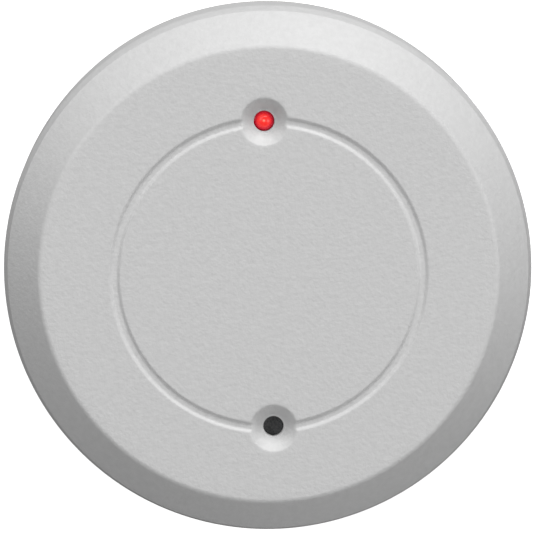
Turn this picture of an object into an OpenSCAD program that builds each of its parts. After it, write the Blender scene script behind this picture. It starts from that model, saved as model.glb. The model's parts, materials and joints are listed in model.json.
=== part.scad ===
// Low-profile round alarm detector: a clip-on front cover over a wall base that
// carries the circuit board. The origin is the centre of the back face, +Z points
// away from the wall and +Y from the sensing port towards the indicator.
// All sizes are in millimetres.

/* [Housing] */
// Outside diameter of the housing
housing_d = 86; // [86:0.5:92]
// Depth from the wall to the front face
housing_h = 21; // [21:0.25:24]
// Wall thickness of the mouldings
wall = 2; // [1.6:0.1:2.2]
// Radial width of the sloping edge round the front face
bevel_w = 6.1; // [5:0.1:6.5]
// Height of the sloping edge round the front face
bevel_h = 6.2; // [5:0.1:6.5]

/* [Front face] */
// Radius of the circular groove, which runs through both dimples
groove_r = 24.6; // [23:0.1:25.5]
// Width of the groove at the face
groove_w = 1.7; // [1:0.1:2.2]
// Depth of the groove
groove_depth = 0.5; // [0.3:0.05:0.8]
// Radius of a dimple at the face
dimple_r = 3.75; // [3.4:0.05:4.2]
// Radius of a dimple's flat floor
dimple_floor_r = 1.95; // [1.8:0.05:2.2]
// Depth of a dimple
dimple_depth = 2; // [1.5:0.1:2.2]
// Radius of the hole in a dimple's floor
port_r = 1.65; // [1.6:0.05:1.75]

/* [Wall fixing] */
// Distance between the two fixing slots
slot_spacing = 64; // [63:0.5:65]
// Length of a fixing slot, end to end
slot_l = 7; // [6:0.5:7.5]
// Width of a fixing slot
slot_w = 4.2; // [3.6:0.1:4.4]
// Radius of the cable entry
entry_r = 6.2; // [5:0.1:6.4]

/* [Wiring terminals] */
// Number of terminals
ways = 7; // [7:1:7]
// Distance between neighbouring terminals
pitch = 5.08; // [5:0.01:5.08]
// How far a clamp cage rises as its screw is tightened
cage_lift = 1.6; // [1:0.1:1.6]

/* [Hidden] */
$fn = 64;
eps = 0.01;
both = [-1, 1];

// Housing
rim_r = housing_d / 2;
draft = 0.3;
cover_z = 1.8;
shoulder_r = rim_r - draft;
shoulder_z = housing_h - bevel_h;
shoulder_round = 1.2;
strip_lean = 0.75;
strip_foot_z = 12.9;
strip_round = 0.3;
face_r = shoulder_r - bevel_w;
face_round = 1.3;
inner_top = housing_h - wall;
skirt_r = rim_r - wall;
bevel_run = bevel_w / bevel_h;
bevel_inner_reach = face_r + bevel_run * housing_h - wall * sqrt(1 + bevel_run * bevel_run);
rib_r = [29.8, 31];
rib_h = 1.4;
dimple_floor = housing_h - dimple_depth;
boss_r = 5.6;
boss_z = dimple_floor - 1.5;
led_at = [0, groove_r];
mic_at = [0, -groove_r];
pry_w = 8;
pry_depth = 0.8;
pry_z = [0.7, 3];

// Wall base
floor_t = 2;
flange_h = 1.6;
foot_chamfer = 0.4;
spigot_r = [skirt_r - 1.6, skirt_r - 0.2];
spigot_z = 5.5;
entry_at = [-19.8, 0];
entry_h = 4;
entry_wall = 1.8;
slot_boss_h = 3;
slot_wall = 1.8;
guide_size = [10, 1.2, 4.5];
guide_at = [-20, 15];
stiffener_size = [26, 1, 1.2];
stiffener_at = [8, 9];
label_at = [0, 22];
label_size = [30, 14];
label_recess = 0.15;
label_t = 0.12;

// Cover latches and the catches that they hold, spaced so that the cover fits one way only
latch_angles = [90, 200, 340];
latch_w = 8;
latch_r = [skirt_r - 2.8, skirt_r - 1.3];
hook_r = skirt_r - 0.3;
catch_r = skirt_r - 0.9;
catch_z = [6.9, 8.1];
hook_z = catch_z[1] + 0.1;
hook_h = 2.2;

// Circuit board
board_z = 5.6;
board_t = 1.6;
board_top = board_z + board_t;
board_r = 36.5;
board_x = [-11, 26];
board_screw_at = [[20, 25], [20, -25], [-8, 31], [-8, -31]];
screw_r = 0.95;
tail_z = 3.8;
lead_r = 0.3;
lead_hole_r = 0.45;

// Terminal block: one way's parts are drawn about the screw's axis at cage_x
way_y = [for (i = [0 : ways - 1]) (i - (ways - 1) / 2) * pitch];
block_x = [-10.6, -1.6];
block_y = ways * pitch / 2 + 0.3;
block_top = 17.6;
cage_x = -6.6;
cage_size = [4.6, 3.6, 5.6];
cage_z = 7.8;
cage_room = 0.1;
cage_window_w = 2.5;
cage_window_z = [8.8, 12];
wire_entry = [2.8, 3, 4];
wire_entry_z = 8.2;
contact_z = 11;
contact_t = 0.5;
contact_w = 2.2;
contact_x = [-8.4, -3];
clamp_screw_r = 1.25;
clamp_head_r = 1.85;
clamp_head_h = 1.4;
clamp_head_z = 15.9;
clamp_tip_z = 11.7;
drive_slot = [6, 0.7, 0.75];

// Relay: the coil lies along Y and the armature hangs in front of its core
relay_at = [15.5, 3];
relay_size = [10, 20, 9.9];
relay_wall = 0.7;
relay_z = board_top + 0.1;
relay_floor = 1.3;
relay_pins_at = [for (x = [-3.4, 3.4], y = [-8, -2.9, 2.2, 7.3]) relay_at + [x, y]];
coil_at = [relay_at[0], relay_at[1] - 1.5];
coil_z = relay_z + 5.2;
coil_r = 2.6;
coil_l = 9;
bobbin_r = 1.5;
flange_r = 3.1;
flange_t = 0.6;
core_r = 1;
core_y = [coil_at[1] - coil_l / 2 - 1, coil_at[1] + coil_l / 2 + 0.9];
iron_w = 5;
iron_t = 0.8;
hinge_y = core_y[1] + 0.35;
hinge_z = coil_z + 3.6;
armature_drop = 6;
contact_blade = [0.9, 0.35, 4.2];
contacts_at = [for (x = [-2.2, 2.2], y = [7.6, 8.8]) relay_at + [x, y]];

// Setting switches
dip_at = [15, -14];
dip_size = [11.2, 7, 4.2];
dip_travel = 2;
dip_set = [1, -1, 1, -1];
dip_pitch = 2.54;
dip_x = [for (i = [0 : 3]) dip_at[0] + (i - 1.5) * dip_pitch];
dip_row = 3.81;
dip_pins_at = [for (x = dip_x, y = both) [x, dip_at[1] + y * dip_row]];
dip_slot_depth = 1.6;
slider_size = [1.3, 1.7, 2.1];

// Tamper switch
tamper_at = [15.5, 19.3];
tamper_size = 6;
tamper_body_h = 3.6;
tamper_top = 14.2;
tamper_stem_r = 1.2;
tamper_head_r = 2.5;
tamper_head_h = 1.2;
tamper_post_r = 2;
tamper_bore_z = board_top + 0.8;
tamper_pins_at = [for (x = [-3.3, 3.3], y = [-2.25, 2.25]) tamper_at + [x, y]];
spring_r = [1.4, 2.1];

// Indicator
led_r = 1.5;
led_top = 19.5;
led_flange_r = 1.9;
led_flange_z = 14.4;
led_flange_h = 1;
led_flat = 1.62;
spacer_r = 2.4;
led_leads_at = [for (x = [-1.27, 1.27]) led_at + [x, 0]];

// Microphone
mic_r = 4.85;
mic_z = [10.4, 16.9];
mic_crimp = 0.3;
felt_r = 3.9;
felt_t = 0.3;
boot_r = 6.2;
boot_hollow_r = 3;
boot_lip_r = [4.4, 5.7];
boot_lip_h = 0.15;
mic_leads_at = [for (x = [-1.27, 1.27]) mic_at + [x, 0]];

// Chips: length of the body along Y, leads down both sides
controller_at = [4.4, 0];
controller_size = [7.5, 12.8, 2.3];
amplifier_at = [4, -13.2];
amplifier_size = [3.9, 8.65, 1.5];
lead_pitch = 1.27;

// Other parts on the board
can_at = [[4.5, 12.6], [11.2, -24.6]];
can_r = [3.15, 2.5];
can_h = [7.2, 7.6];
regulator_at = [9.3, 18.6];
regulator_r = 2.35;
regulator_z = board_top + 2;
varistor_at = [2.9, 19.2];
varistor_r = 3.4;
varistor_t = 2.6;
varistor_z = board_top + 4.4;
crystal_at = [15, -20];
crystal_z = board_top + 0.2;
diodes_at = [[7.4, 26.4], [12.6, 26.4]];
diode_size = [4.2, 2.6, 2.1];
chip_size = [2, 1.25, 0.55];
chip_capacitor_h = 1;
resistors_at = [[-7.5, 22.4], [-7.5, 24.6], [-7.5, 26.8], [1, 29.6], [1, 31.8], [9, -8.9], [12, -8.9],
    [23, 10], [23, 7.6], [23, 5.2], [23, -2], [-8.2, -22], [-8.2, -24.2], [7.3, -18.6]];
ceramics_at = [[4.2, 8], [8.6, 10.2], [9.2, -31.4], [12.6, -31.4], [23, 0.6], [23, -4.8], [7.6, 30.2]];

// Through-hole leads of the parts above, by the part that they carry
can_leads_at = [for (c = can_at, x = [-1.25, 1.25]) c + [x, 0]];
regulator_leads_at = [for (x = [-1.27, 0, 1.27]) regulator_at + [x, 0]];
varistor_leads_at = [for (x = [-2.5, 2.5]) varistor_at + [x, 0]];
crystal_leads_at = [for (x = [-2.44, 2.44]) crystal_at + [x, 0]];
block_pins_at = [for (y = way_y) [contact_x[1], y]];
board_holes_at = concat(relay_pins_at, dip_pins_at, tamper_pins_at, led_leads_at, mic_leads_at,
    can_leads_at, regulator_leads_at, varistor_leads_at, crystal_leads_at, block_pins_at);

// ---- Helpers ----

// Unit vector from a to b
function toward(a, b) = (b - a) / norm(b - a);

// Outline corner b between a and c, rounded with radius r and drawn with n steps
function round_corner(a, b, c, r, n) =
    let (u = toward(b, a), v = toward(b, c),
         half = acos(u * v) / 2,
         centre = b + toward([0, 0], u + v) * r / sin(half),
         from = b + u * r / tan(half) - centre,
         to = b + v * r / tan(half) - centre,
         start = atan2(from[1], from[0]),
         swing = atan2(from[0] * to[1] - from[1] * to[0], from * to))
    [for (i = [0 : n]) centre + r * [cos(start + swing * i / n), sin(start + swing * i / n)]];

// Moves children to a place in the plan, at height z
module at(place, z = 0) {
    translate([place[0], place[1], z]) children();
}

// Block centred on x and y, standing on z
module block(size, place, z) {
    at(place - [size[0], size[1]] / 2, z) cube(size);
}

// Ring between the radii r[0] and r[1]
module ring(r, z0, z1) {
    translate([0, 0, z0]) difference() {
        cylinder(r = r[1], h = z1 - z0);
        translate([0, 0, -1]) cylinder(r = r[0], h = z1 - z0 + 2);
    }
}

// Round leads at a list of places, from z0 up to z1
module leads(places, z0, z1, r = lead_r) {
    for (p = places) at(p, z0) cylinder(r = r, h = z1 - z0, $fn = 16);
}

// Flat bar with round ends, lying along X
module slot(length, width, height) {
    for (side = both)
        translate([side * (length - width) / 2, 0, 0]) cylinder(r = width / 2, h = height);
    block([length - width, width, height], [0, 0], 0);
}

// ---- Housing ----

module ring_groove() {
    arc_r = (groove_w * groove_w / 4 + groove_depth * groove_depth) / (2 * groove_depth);
    rotate_extrude($fn = 180)
        translate([groove_r, housing_h + arc_r - groove_depth]) circle(r = arc_r, $fn = 32);
}

module dimple_and_port() {
    cylinder(r1 = dimple_floor_r, r2 = dimple_r, h = dimple_depth + eps);
    translate([0, 0, boss_z - dimple_floor - 1]) cylinder(r = port_r, h = dimple_depth + 1);
}

// Notch for the screwdriver that lifts the cover
module pry_notch() {
    translate([-pry_w / 2, -rim_r - 1, pry_z[0]]) cube([pry_w, 1 + pry_depth, pry_z[1] - pry_z[0]]);
}

module front_cover() {
    wall_foot = [rim_r, cover_z];
    // A steeper strip runs between the wall and the sloping edge
    strip_foot = [shoulder_r, strip_foot_z];
    strip_top = [shoulder_r - strip_lean, shoulder_z + strip_lean * bevel_h / bevel_w];
    face_edge = [face_r, housing_h];
    face_centre = [0, housing_h];
    outside = concat(
        [wall_foot],
        round_corner(wall_foot, strip_foot, strip_top, shoulder_round, 3),
        round_corner(strip_foot, strip_top, face_edge, strip_round, 3),
        round_corner(strip_top, face_edge, face_centre, face_round, 5),
        [face_centre]);
    inside = [
        [0, inner_top],
        [bevel_inner_reach - bevel_run * inner_top, inner_top],
        [skirt_r, (bevel_inner_reach - skirt_r) / bevel_run],
        [skirt_r, cover_z]];
    color("white") difference() {
        union() {
            rotate_extrude($fn = 180) polygon(concat(outside, inside));
            for (p = [led_at, mic_at]) at(p, boss_z) cylinder(r = boss_r, h = inner_top - boss_z + eps);
            // Post that holds the tamper plunger down
            at(tamper_at, tamper_top + 0.05) cylinder(r = tamper_post_r, h = inner_top - tamper_top);
            // Ring rib that stiffens the front
            ring(rib_r, inner_top - rib_h, inner_top + eps);
            // Catches for the cover latches
            for (a = latch_angles) intersection() {
                ring([catch_r, skirt_r + eps], catch_z[0], catch_z[1]);
                rotate([0, 0, a]) block([30, latch_w + 2, housing_h], [skirt_r, 0], 0);
            }
        }
        ring_groove();
        for (p = [led_at, mic_at]) at(p, dimple_floor) dimple_and_port();
        pry_notch();
    }
}

module mounting_base() {
    profile = [
        [0, 0], [rim_r - foot_chamfer, 0], [rim_r, foot_chamfer], [rim_r, flange_h],
        [spigot_r[1], flange_h], [spigot_r[1], spigot_z], [spigot_r[0], spigot_z],
        [spigot_r[0], floor_t], [0, floor_t]];
    latch_gap = 0.6;
    color("whitesmoke") difference() {
        union() {
            rotate_extrude($fn = 180) polygon(profile);
            for (p = board_screw_at) at(p, floor_t - eps)
                cylinder(r = 3 * screw_r, h = board_z - floor_t + eps);
            at(entry_at) cylinder(r = entry_r + entry_wall, h = entry_h);
            for (side = both) at([side * slot_spacing / 2, 0])
                slot(slot_l + 2 * slot_wall, slot_w + 2 * slot_wall, slot_boss_h);
            // Fins that guide the wires up to the terminals
            for (side = both) block(guide_size, [guide_at[0], side * guide_at[1]], floor_t - eps);
            // Ribs that stiffen the floor under the board
            for (side = both)
                block(stiffener_size, [stiffener_at[0], side * stiffener_at[1]], floor_t - eps);
        }
        for (side = both) at([side * slot_spacing / 2, 0], -1) slot(slot_l, slot_w, slot_boss_h + 2);
        at(entry_at, -1) cylinder(r = entry_r, h = entry_h + 2);
        for (p = board_screw_at) at(p, 1.2) cylinder(r = screw_r + 0.05, h = board_z, $fn = 24);
        for (a = latch_angles) rotate([0, 0, a])
            block([4, latch_w + 2 * latch_gap, spigot_z], [spigot_r[0], 0], floor_t);
        at(label_at, -1) slot(label_size[0], label_size[1], 1 + label_recess);
        pry_notch();
    }
}

module cover_latches() {
    top = hook_z + hook_h;
    profile = [
        [latch_r[0], floor_t], [latch_r[1], floor_t], [latch_r[1], hook_z], [hook_r, hook_z],
        [hook_r, hook_z + 0.6], [latch_r[1] - 0.2, top], [latch_r[0] + 0.3, top]];
    color("whitesmoke") for (a = latch_angles)
        rotate([0, 0, a]) translate([0, latch_w / 2, 0]) rotate([90, 0, 0])
            linear_extrude(latch_w) polygon(profile);
}

module rear_label() {
    edge_gap = 0.6;
    color("silver") at(label_at, label_recess - label_t)
        slot(label_size[0] - edge_gap, label_size[1] - edge_gap, label_t);
}

// ---- Circuit board ----

module circuit_board() {
    color("darkgreen") translate([0, 0, board_z]) linear_extrude(board_t) difference() {
        intersection() {
            circle(r = board_r, $fn = 120);
            translate([board_x[0], -board_r]) square([board_x[1] - board_x[0], 2 * board_r]);
        }
        for (p = board_screw_at) translate(p) circle(r = 1.5 * screw_r, $fn = 24);
        for (p = board_holes_at) translate(p) circle(r = lead_hole_r, $fn = 16);
    }
}

module board_screws() {
    head_r = 2.4;
    head_h = 1.5;
    dome_r = 3.75;
    shank_l = 5.4;
    tip_l = 0.5;
    color("silver") for (p = board_screw_at) at(p, board_top) difference() {
        union() {
            intersection() {
                cylinder(r = head_r, h = head_h);
                translate([0, 0, head_h - dome_r]) sphere(r = dome_r);
            }
            translate([0, 0, -shank_l]) cylinder(r = screw_r, h = shank_l + eps, $fn = 24);
            translate([0, 0, -shank_l - tip_l])
                cylinder(r1 = screw_r - tip_l, r2 = screw_r, h = tip_l + eps, $fn = 24);
        }
        for (a = [0, 90]) rotate([0, 0, a]) block([2.6, 0.6, head_h], [0, 0], head_h - 0.8);
    }
}

// ---- Wiring terminals ----

module terminal_housing() {
    room_top = clamp_head_z - 0.8;
    slope = 1.8;
    color("seagreen") difference() {
        translate([block_x[0], -block_y, board_top])
            cube([block_x[1] - block_x[0], 2 * block_y, block_top - board_top]);
        // Sloping edge over the wire entries
        translate([block_x[0], 0, block_top]) rotate([0, 45, 0])
            cube([slope, 2 * block_y + 2, slope], center = true);
        for (y = way_y) {
            // Room in which the cage rises
            block([cage_size[0] + 2 * cage_room, cage_size[1] + 2 * cage_room,
                room_top - cage_z + cage_room], [cage_x, y], cage_z - cage_room);
            // Wire entry
            translate([block_x[0] - 1, y - wire_entry[1] / 2, wire_entry_z]) cube(wire_entry);
            // Slot for the contact
            translate([cage_x, y - contact_w / 2 - 0.25, board_top - 1])
                cube([contact_x[1] - cage_x + 0.6, contact_w + 0.5, contact_z + contact_t - board_top + 1.2]);
            // Screw hole and well
            at([cage_x, y], clamp_tip_z) cylinder(r = clamp_screw_r + 0.1, h = block_top, $fn = 32);
            at([cage_x, y], clamp_head_z) cylinder(r = clamp_head_r + 0.15, h = block_top, $fn = 32);
        }
    }
}

module terminal_pins() {
    pin_t = 0.5;
    color("tan") for (y = way_y) {
        translate([contact_x[0], y - contact_w / 2, contact_z])
            cube([contact_x[1] + pin_t / 2 - contact_x[0], contact_w, contact_t]);
        block([pin_t, contact_w, contact_z - board_top], [contact_x[1], y], board_top + 0.2);
        leads([[contact_x[1], y]], tail_z, board_top + 0.3, 0.4);
    }
}

module terminal_screw(i) {
    color("silver") at([cage_x, way_y[i - 1]]) difference() {
        union() {
            translate([0, 0, clamp_head_z]) cylinder(r = clamp_head_r, h = clamp_head_h, $fn = 32);
            translate([0, 0, clamp_tip_z])
                cylinder(r = clamp_screw_r, h = clamp_head_z - clamp_tip_z + eps, $fn = 32);
        }
        block([drive_slot[0], drive_slot[1], clamp_head_h], [0, 0],
            clamp_head_z + clamp_head_h - drive_slot[2]);
    }
}

module terminal_cage(i) {
    y = way_y[i - 1];
    color("goldenrod") difference() {
        block(cage_size, [cage_x, y], cage_z);
        block([2 * cage_size[0], cage_window_w, cage_window_z[1] - cage_window_z[0]], [cage_x, y],
            cage_window_z[0]);
        at([cage_x, y], cage_window_z[0] + 1) cylinder(r = clamp_screw_r + 0.05, h = cage_size[2], $fn = 32);
    }
}

// ---- Relay ----

module relay_case() {
    inner = relay_size - relay_wall * [2, 2, 0];
    color("lightyellow") difference() {
        block(relay_size, relay_at, relay_z);
        block(inner, relay_at, relay_z - relay_wall);
    }
}

module relay_base() {
    gap = 0.05;
    color("dimgray") difference() {
        block([relay_size[0] - 2 * (relay_wall + gap), relay_size[1] - 2 * (relay_wall + gap), relay_floor],
            relay_at, relay_z);
        leads(relay_pins_at, relay_z - 1, relay_z + 2, 0.36);
    }
}

module relay_pins() {
    color("silver") leads(relay_pins_at, tail_z, relay_z + relay_floor + 0.5, 0.35);
}

// Turns children to run along the coil's axis from y towards -Y
module coil_axis(y) {
    translate([coil_at[0], y, coil_z]) rotate([90, 0, 0]) children();
}

module relay_bobbin() {
    end_y = coil_at[1] + coil_l / 2;
    color("black") difference() {
        union() {
            coil_axis(end_y + flange_t) cylinder(r = flange_r, h = flange_t, $fn = 32);
            coil_axis(end_y - coil_l) cylinder(r = flange_r, h = flange_t, $fn = 32);
            coil_axis(end_y) cylinder(r = bobbin_r, h = coil_l, $fn = 32);
        }
        coil_axis(end_y + 1) cylinder(r = core_r + 0.05, h = coil_l + 2, $fn = 32);
    }
}

module relay_coil() {
    gap = 0.05;
    color("chocolate") coil_axis(coil_at[1] + coil_l / 2 - gap) difference() {
        cylinder(r = coil_r, h = coil_l - 2 * gap, $fn = 48);
        translate([0, 0, -1]) cylinder(r = bobbin_r + 0.02, h = coil_l + 2, $fn = 32);
    }
}

// The core runs through the coil; the yoke carries its field round to the armature
module relay_yoke() {
    leg_z = relay_z + relay_floor + 0.6;
    leg_y = core_y[0] - iron_t / 2;
    bar_z = hinge_z - 0.5;
    color("gray") union() {
        coil_axis(core_y[1]) cylinder(r = core_r, h = core_y[1] - core_y[0], $fn = 32);
        translate([coil_at[0] - iron_w / 2, leg_y, leg_z]) cube([iron_w, iron_t, bar_z + iron_t - leg_z]);
        translate([coil_at[0] - iron_w / 2, leg_y, bar_z]) cube([iron_w, hinge_y - leg_y - 0.1, iron_t]);
    }
}

module relay_armature() {
    pusher = [1.4, 0.7, 1.1];
    foot_z = hinge_z - armature_drop;
    color("lightgray") union() {
        translate([coil_at[0] - 2.3, hinge_y, foot_z]) cube([4.6, iron_t, armature_drop + 0.25]);
        translate([coil_at[0] - pusher[0] / 2, hinge_y + iron_t - eps, foot_z]) cube(pusher);
    }
}

module relay_contacts() {
    color("goldenrod") for (p = contacts_at) block(contact_blade, p, relay_z + relay_floor + 0.6);
}

// ---- Setting switches ----

module switch_body() {
    slot_size = [slider_size[0] + 0.2, slider_size[1] + dip_travel + 0.3, dip_size[2]];
    color("firebrick") difference() {
        block(dip_size, dip_at, board_top);
        for (x = dip_x) block(slot_size, [x, dip_at[1]], board_top + dip_size[2] - dip_slot_depth);
        for (p = dip_pins_at) block([0.8, 1.2, 2], p, board_top - 1);
    }
}

module switch_pins() {
    color("silver") leads(dip_pins_at, tail_z, board_top + 0.9);
}

module switch_slider(i) {
    color("white") block(slider_size, [dip_x[i - 1], dip_at[1] + dip_set[i - 1] * dip_travel / 2],
        board_top + dip_size[2] - dip_slot_depth + 0.05);
}

// ---- Indicator ----

module led_lens() {
    dome_z = led_top - led_r;
    color("red") at(led_at) difference() {
        union() {
            translate([0, 0, led_flange_z]) cylinder(r = led_flange_r, h = led_flange_h, $fn = 48);
            translate([0, 0, led_flange_z]) cylinder(r = led_r, h = dome_z - led_flange_z, $fn = 48);
            translate([0, 0, dome_z]) sphere(r = led_r, $fn = 48);
        }
        // Flat on the flange that marks the cathode
        translate([led_flat, -led_flange_r, led_flange_z - 1])
            cube([1, 2 * led_flange_r, led_flange_h + 1.1]);
    }
}

module led_leads() {
    color("silver") leads(led_leads_at, tail_z, led_flange_z);
}

module led_spacer() {
    color("ivory") difference() {
        at(led_at, board_top) cylinder(r = spacer_r, h = led_flange_z - board_top, $fn = 48);
        leads(led_leads_at, board_top - 1, led_flange_z + 1, lead_r + 0.02);
    }
}

// ---- Microphone ----

module microphone_capsule() {
    h = mic_z[1] - mic_z[0];
    crimp_r = mic_r - 0.9;
    color("silver") at(mic_at, mic_z[0]) rotate_extrude() polygon([
        [0, mic_crimp], [crimp_r, mic_crimp], [crimp_r, 0], [mic_r, 0], [mic_r, h - mic_crimp],
        [mic_r - mic_crimp, h], [0, h]]);
}

module microphone_felt() {
    color("black") at(mic_at, mic_z[1]) cylinder(r = felt_r, h = felt_t);
}

module microphone_boot() {
    rim_z = mic_z[1] + felt_t;
    color("dimgray") at(mic_at) difference() {
        union() {
            translate([0, 0, board_top]) cylinder(r = boot_r, h = rim_z - board_top);
            ring(boot_lip_r, rim_z - eps, rim_z + boot_lip_h);
        }
        translate([0, 0, mic_z[0]]) cylinder(r = mic_r + 0.02, h = mic_z[1] - mic_z[0]);
        translate([0, 0, board_top - 1]) cylinder(r = boot_hollow_r, h = mic_z[0] - board_top + 2);
        translate([0, 0, mic_z[1] - 1]) cylinder(r = felt_r + 0.1, h = 3);
    }
}

module microphone_leads() {
    color("silver") leads(mic_leads_at, tail_z, mic_z[0] + mic_crimp);
}

// ---- Tamper switch ----

module tamper_body() {
    color("black") difference() {
        block([tamper_size, tamper_size, tamper_body_h], tamper_at, board_top);
        at(tamper_at, tamper_bore_z) cylinder(r = tamper_stem_r + 0.1, h = 6, $fn = 32);
    }
}

module tamper_pins() {
    color("silver") leads(tamper_pins_at, tail_z, board_top + 0.8);
}

module tamper_plunger() {
    stem_z = tamper_bore_z + 0.2;
    head_z = tamper_top - tamper_head_h;
    chamfer = 0.3;
    color("white") at(tamper_at) union() {
        translate([0, 0, stem_z]) cylinder(r = tamper_stem_r, h = tamper_top - stem_z - eps, $fn = 32);
        translate([0, 0, head_z]) cylinder(r = tamper_head_r, h = tamper_head_h - chamfer, $fn = 48);
        translate([0, 0, tamper_top - chamfer])
            cylinder(r1 = tamper_head_r, r2 = tamper_head_r - chamfer, h = chamfer, $fn = 48);
    }
}

module tamper_spring() {
    color("silver") at(tamper_at) ring(spring_r, board_top + tamper_body_h, tamper_top - tamper_head_h);
}

// ---- Chips ----

// Gull-wing leads down both sides of a chip whose length lies along Y
module gull_leads(place, count, body_w, foot_out) {
    t = 0.2;
    lead_w = 0.4;
    foot_l = 0.7;
    knee_z = body_w / 12 + 0.5;
    knee_out = body_w / 2 + 0.3;
    profile = [
        [foot_out, 0], [foot_out, t], [foot_out - foot_l + t, t], [knee_out + t / 2, knee_z + t],
        [body_w / 2, knee_z + t], [body_w / 2, knee_z], [knee_out - t / 2, knee_z],
        [foot_out - foot_l, 0]];
    for (side = both, i = [0 : count - 1])
        at(place + [0, (i - (count - 1) / 2) * lead_pitch], board_top)
            rotate([90, 0, side > 0 ? 0 : 180]) translate([0, 0, -lead_w / 2])
                linear_extrude(lead_w) polygon(profile);
}

// Moulded package whose flanks slope above and below the lead line
module package(size, place, z) {
    slope = 0.15;
    half_w = size[0] / 2;
    lead_line = size[2] / 2;
    at(place, z) rotate([90, 0, 0]) translate([0, 0, -size[1] / 2]) linear_extrude(size[1]) polygon([
        [slope - half_w, 0], [half_w - slope, 0], [half_w, lead_line - 0.1], [half_w, lead_line + 0.2],
        [half_w - slope, size[2]], [slope - half_w, size[2]], [-half_w, lead_line + 0.2],
        [-half_w, lead_line - 0.1]]);
}

// Package with the dimple that marks its first lead
module marked_package(size, place, z) {
    mark_r = size[0] / 14;
    color("black") difference() {
        package(size, place, z);
        at(place + [-0.3 * size[0], 0.4 * size[1]], z + size[2] - 0.1) cylinder(r = mark_r, h = 1, $fn = 24);
    }
}

module controller_body() {
    marked_package(controller_size, controller_at, board_top + 0.15);
}

module controller_leads() {
    color("silver") gull_leads(controller_at, 10, controller_size[0], 5.15);
}

module amplifier_body() {
    marked_package(amplifier_size, amplifier_at, board_top + 0.12);
}

module amplifier_leads() {
    color("silver") gull_leads(amplifier_at, 7, amplifier_size[0], 3);
}

// ---- Other board parts ----

// Crimped aluminium can on its rubber bung
module can_capacitor(r, h) {
    rotate_extrude($fn = 48) polygon([
        [0, 0], [r - 0.3, 0], [r, 0.3], [r, 0.9], [r - 0.25, 1.2], [r, 1.5], [r, h - 0.4],
        [r - 0.4, h], [0, h]]);
}

module can_capacitors() {
    color("midnightblue") for (i = [0 : 1]) at(can_at[i], board_top + 0.1) can_capacitor(can_r[i], can_h[i]);
}

module regulator_body() {
    h = 4.6;
    flat = 1.35;
    color("black") at(regulator_at, regulator_z) intersection() {
        cylinder(r = regulator_r, h = h, $fn = 48);
        translate([-regulator_r, -flat, 0]) cube([2 * regulator_r, regulator_r + flat, h]);
    }
}

module varistor_disc() {
    color("royalblue") translate([varistor_at[0], varistor_at[1] + varistor_t / 2, varistor_z])
        rotate([90, 0, 0]) cylinder(r = varistor_r, h = varistor_t, $fn = 48);
}

module crystal_can() {
    color("silver") at(crystal_at, crystal_z) {
        slot(10.2, 3, 0.5);
        slot(9.4, 2.5, 3.2);
    }
}

// Each lead stops under the part that it carries
module radial_leads() {
    color("silver") {
        leads(can_leads_at, tail_z, board_top + 0.1);
        leads(regulator_leads_at, tail_z, regulator_z);
        leads(varistor_leads_at, tail_z, varistor_z - 2.65);
        leads(crystal_leads_at, tail_z, crystal_z);
    }
}

module surge_diodes() {
    color("black") for (p = diodes_at) block(diode_size, p, board_top + 0.1);
}

module chip_resistors() {
    color("black") for (p = resistors_at) block(chip_size, p, board_top);
}

module chip_capacitors() {
    color("tan") for (p = ceramics_at) block([chip_size[0], chip_size[1], chip_capacitor_h], p, board_top);
}

// ---- The nodes ----

front_cover();
mounting_base();
cover_latches();
rear_label();
circuit_board();
board_screws();
terminal_housing();
terminal_pins();
relay_base();
relay_case();
relay_pins();
relay_bobbin();
relay_coil();
relay_yoke();
relay_armature();
relay_contacts();
switch_body();
switch_pins();
led_lens();
led_leads();
led_spacer();
microphone_capsule();
microphone_felt();
microphone_boot();
microphone_leads();
tamper_body();
tamper_pins();
tamper_plunger();
tamper_spring();
controller_body();
controller_leads();
amplifier_body();
amplifier_leads();
can_capacitors();
radial_leads();
regulator_body();
varistor_disc();
crystal_can();
surge_diodes();
chip_resistors();
chip_capacitors();
for (i = [1 : 4])
    switch_slider(i);
for (i = [1 : ways])
    terminal_screw(i);
for (i = [1 : ways])
    terminal_cage(i);
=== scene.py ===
# %% [markdown]
# # A low-profile round alarm detector
# The part is a clip-on cover over a wall base that carries a circuit board. It lies on its back here, so
# the wall is the floor, +Z points out of the wall and +Y from the sensing port towards the indicator. The
# imported model is the frame: every piece below takes its place from it, and all but the spring move with
# one of its bodies.

# %% Load the frame
import json
from math import atan2, cos, degrees, pi, radians, sin

import bmesh
import bpy
import numpy as np
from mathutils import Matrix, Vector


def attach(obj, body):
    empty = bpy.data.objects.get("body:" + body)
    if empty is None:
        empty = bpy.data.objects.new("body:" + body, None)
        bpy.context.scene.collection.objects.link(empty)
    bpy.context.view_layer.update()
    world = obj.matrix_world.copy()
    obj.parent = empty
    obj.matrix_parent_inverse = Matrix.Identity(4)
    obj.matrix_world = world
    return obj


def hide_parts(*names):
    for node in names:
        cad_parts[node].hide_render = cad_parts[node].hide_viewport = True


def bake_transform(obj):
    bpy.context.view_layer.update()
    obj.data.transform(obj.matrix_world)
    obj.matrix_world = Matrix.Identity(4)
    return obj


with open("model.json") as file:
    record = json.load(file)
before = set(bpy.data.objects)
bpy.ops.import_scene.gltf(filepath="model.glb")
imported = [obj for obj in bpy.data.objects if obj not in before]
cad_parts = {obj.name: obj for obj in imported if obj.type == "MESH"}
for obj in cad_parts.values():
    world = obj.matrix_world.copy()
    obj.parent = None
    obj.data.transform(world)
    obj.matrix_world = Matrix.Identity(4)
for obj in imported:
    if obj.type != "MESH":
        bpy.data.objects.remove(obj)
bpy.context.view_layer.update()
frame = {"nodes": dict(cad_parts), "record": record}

MM = 0.001

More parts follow.
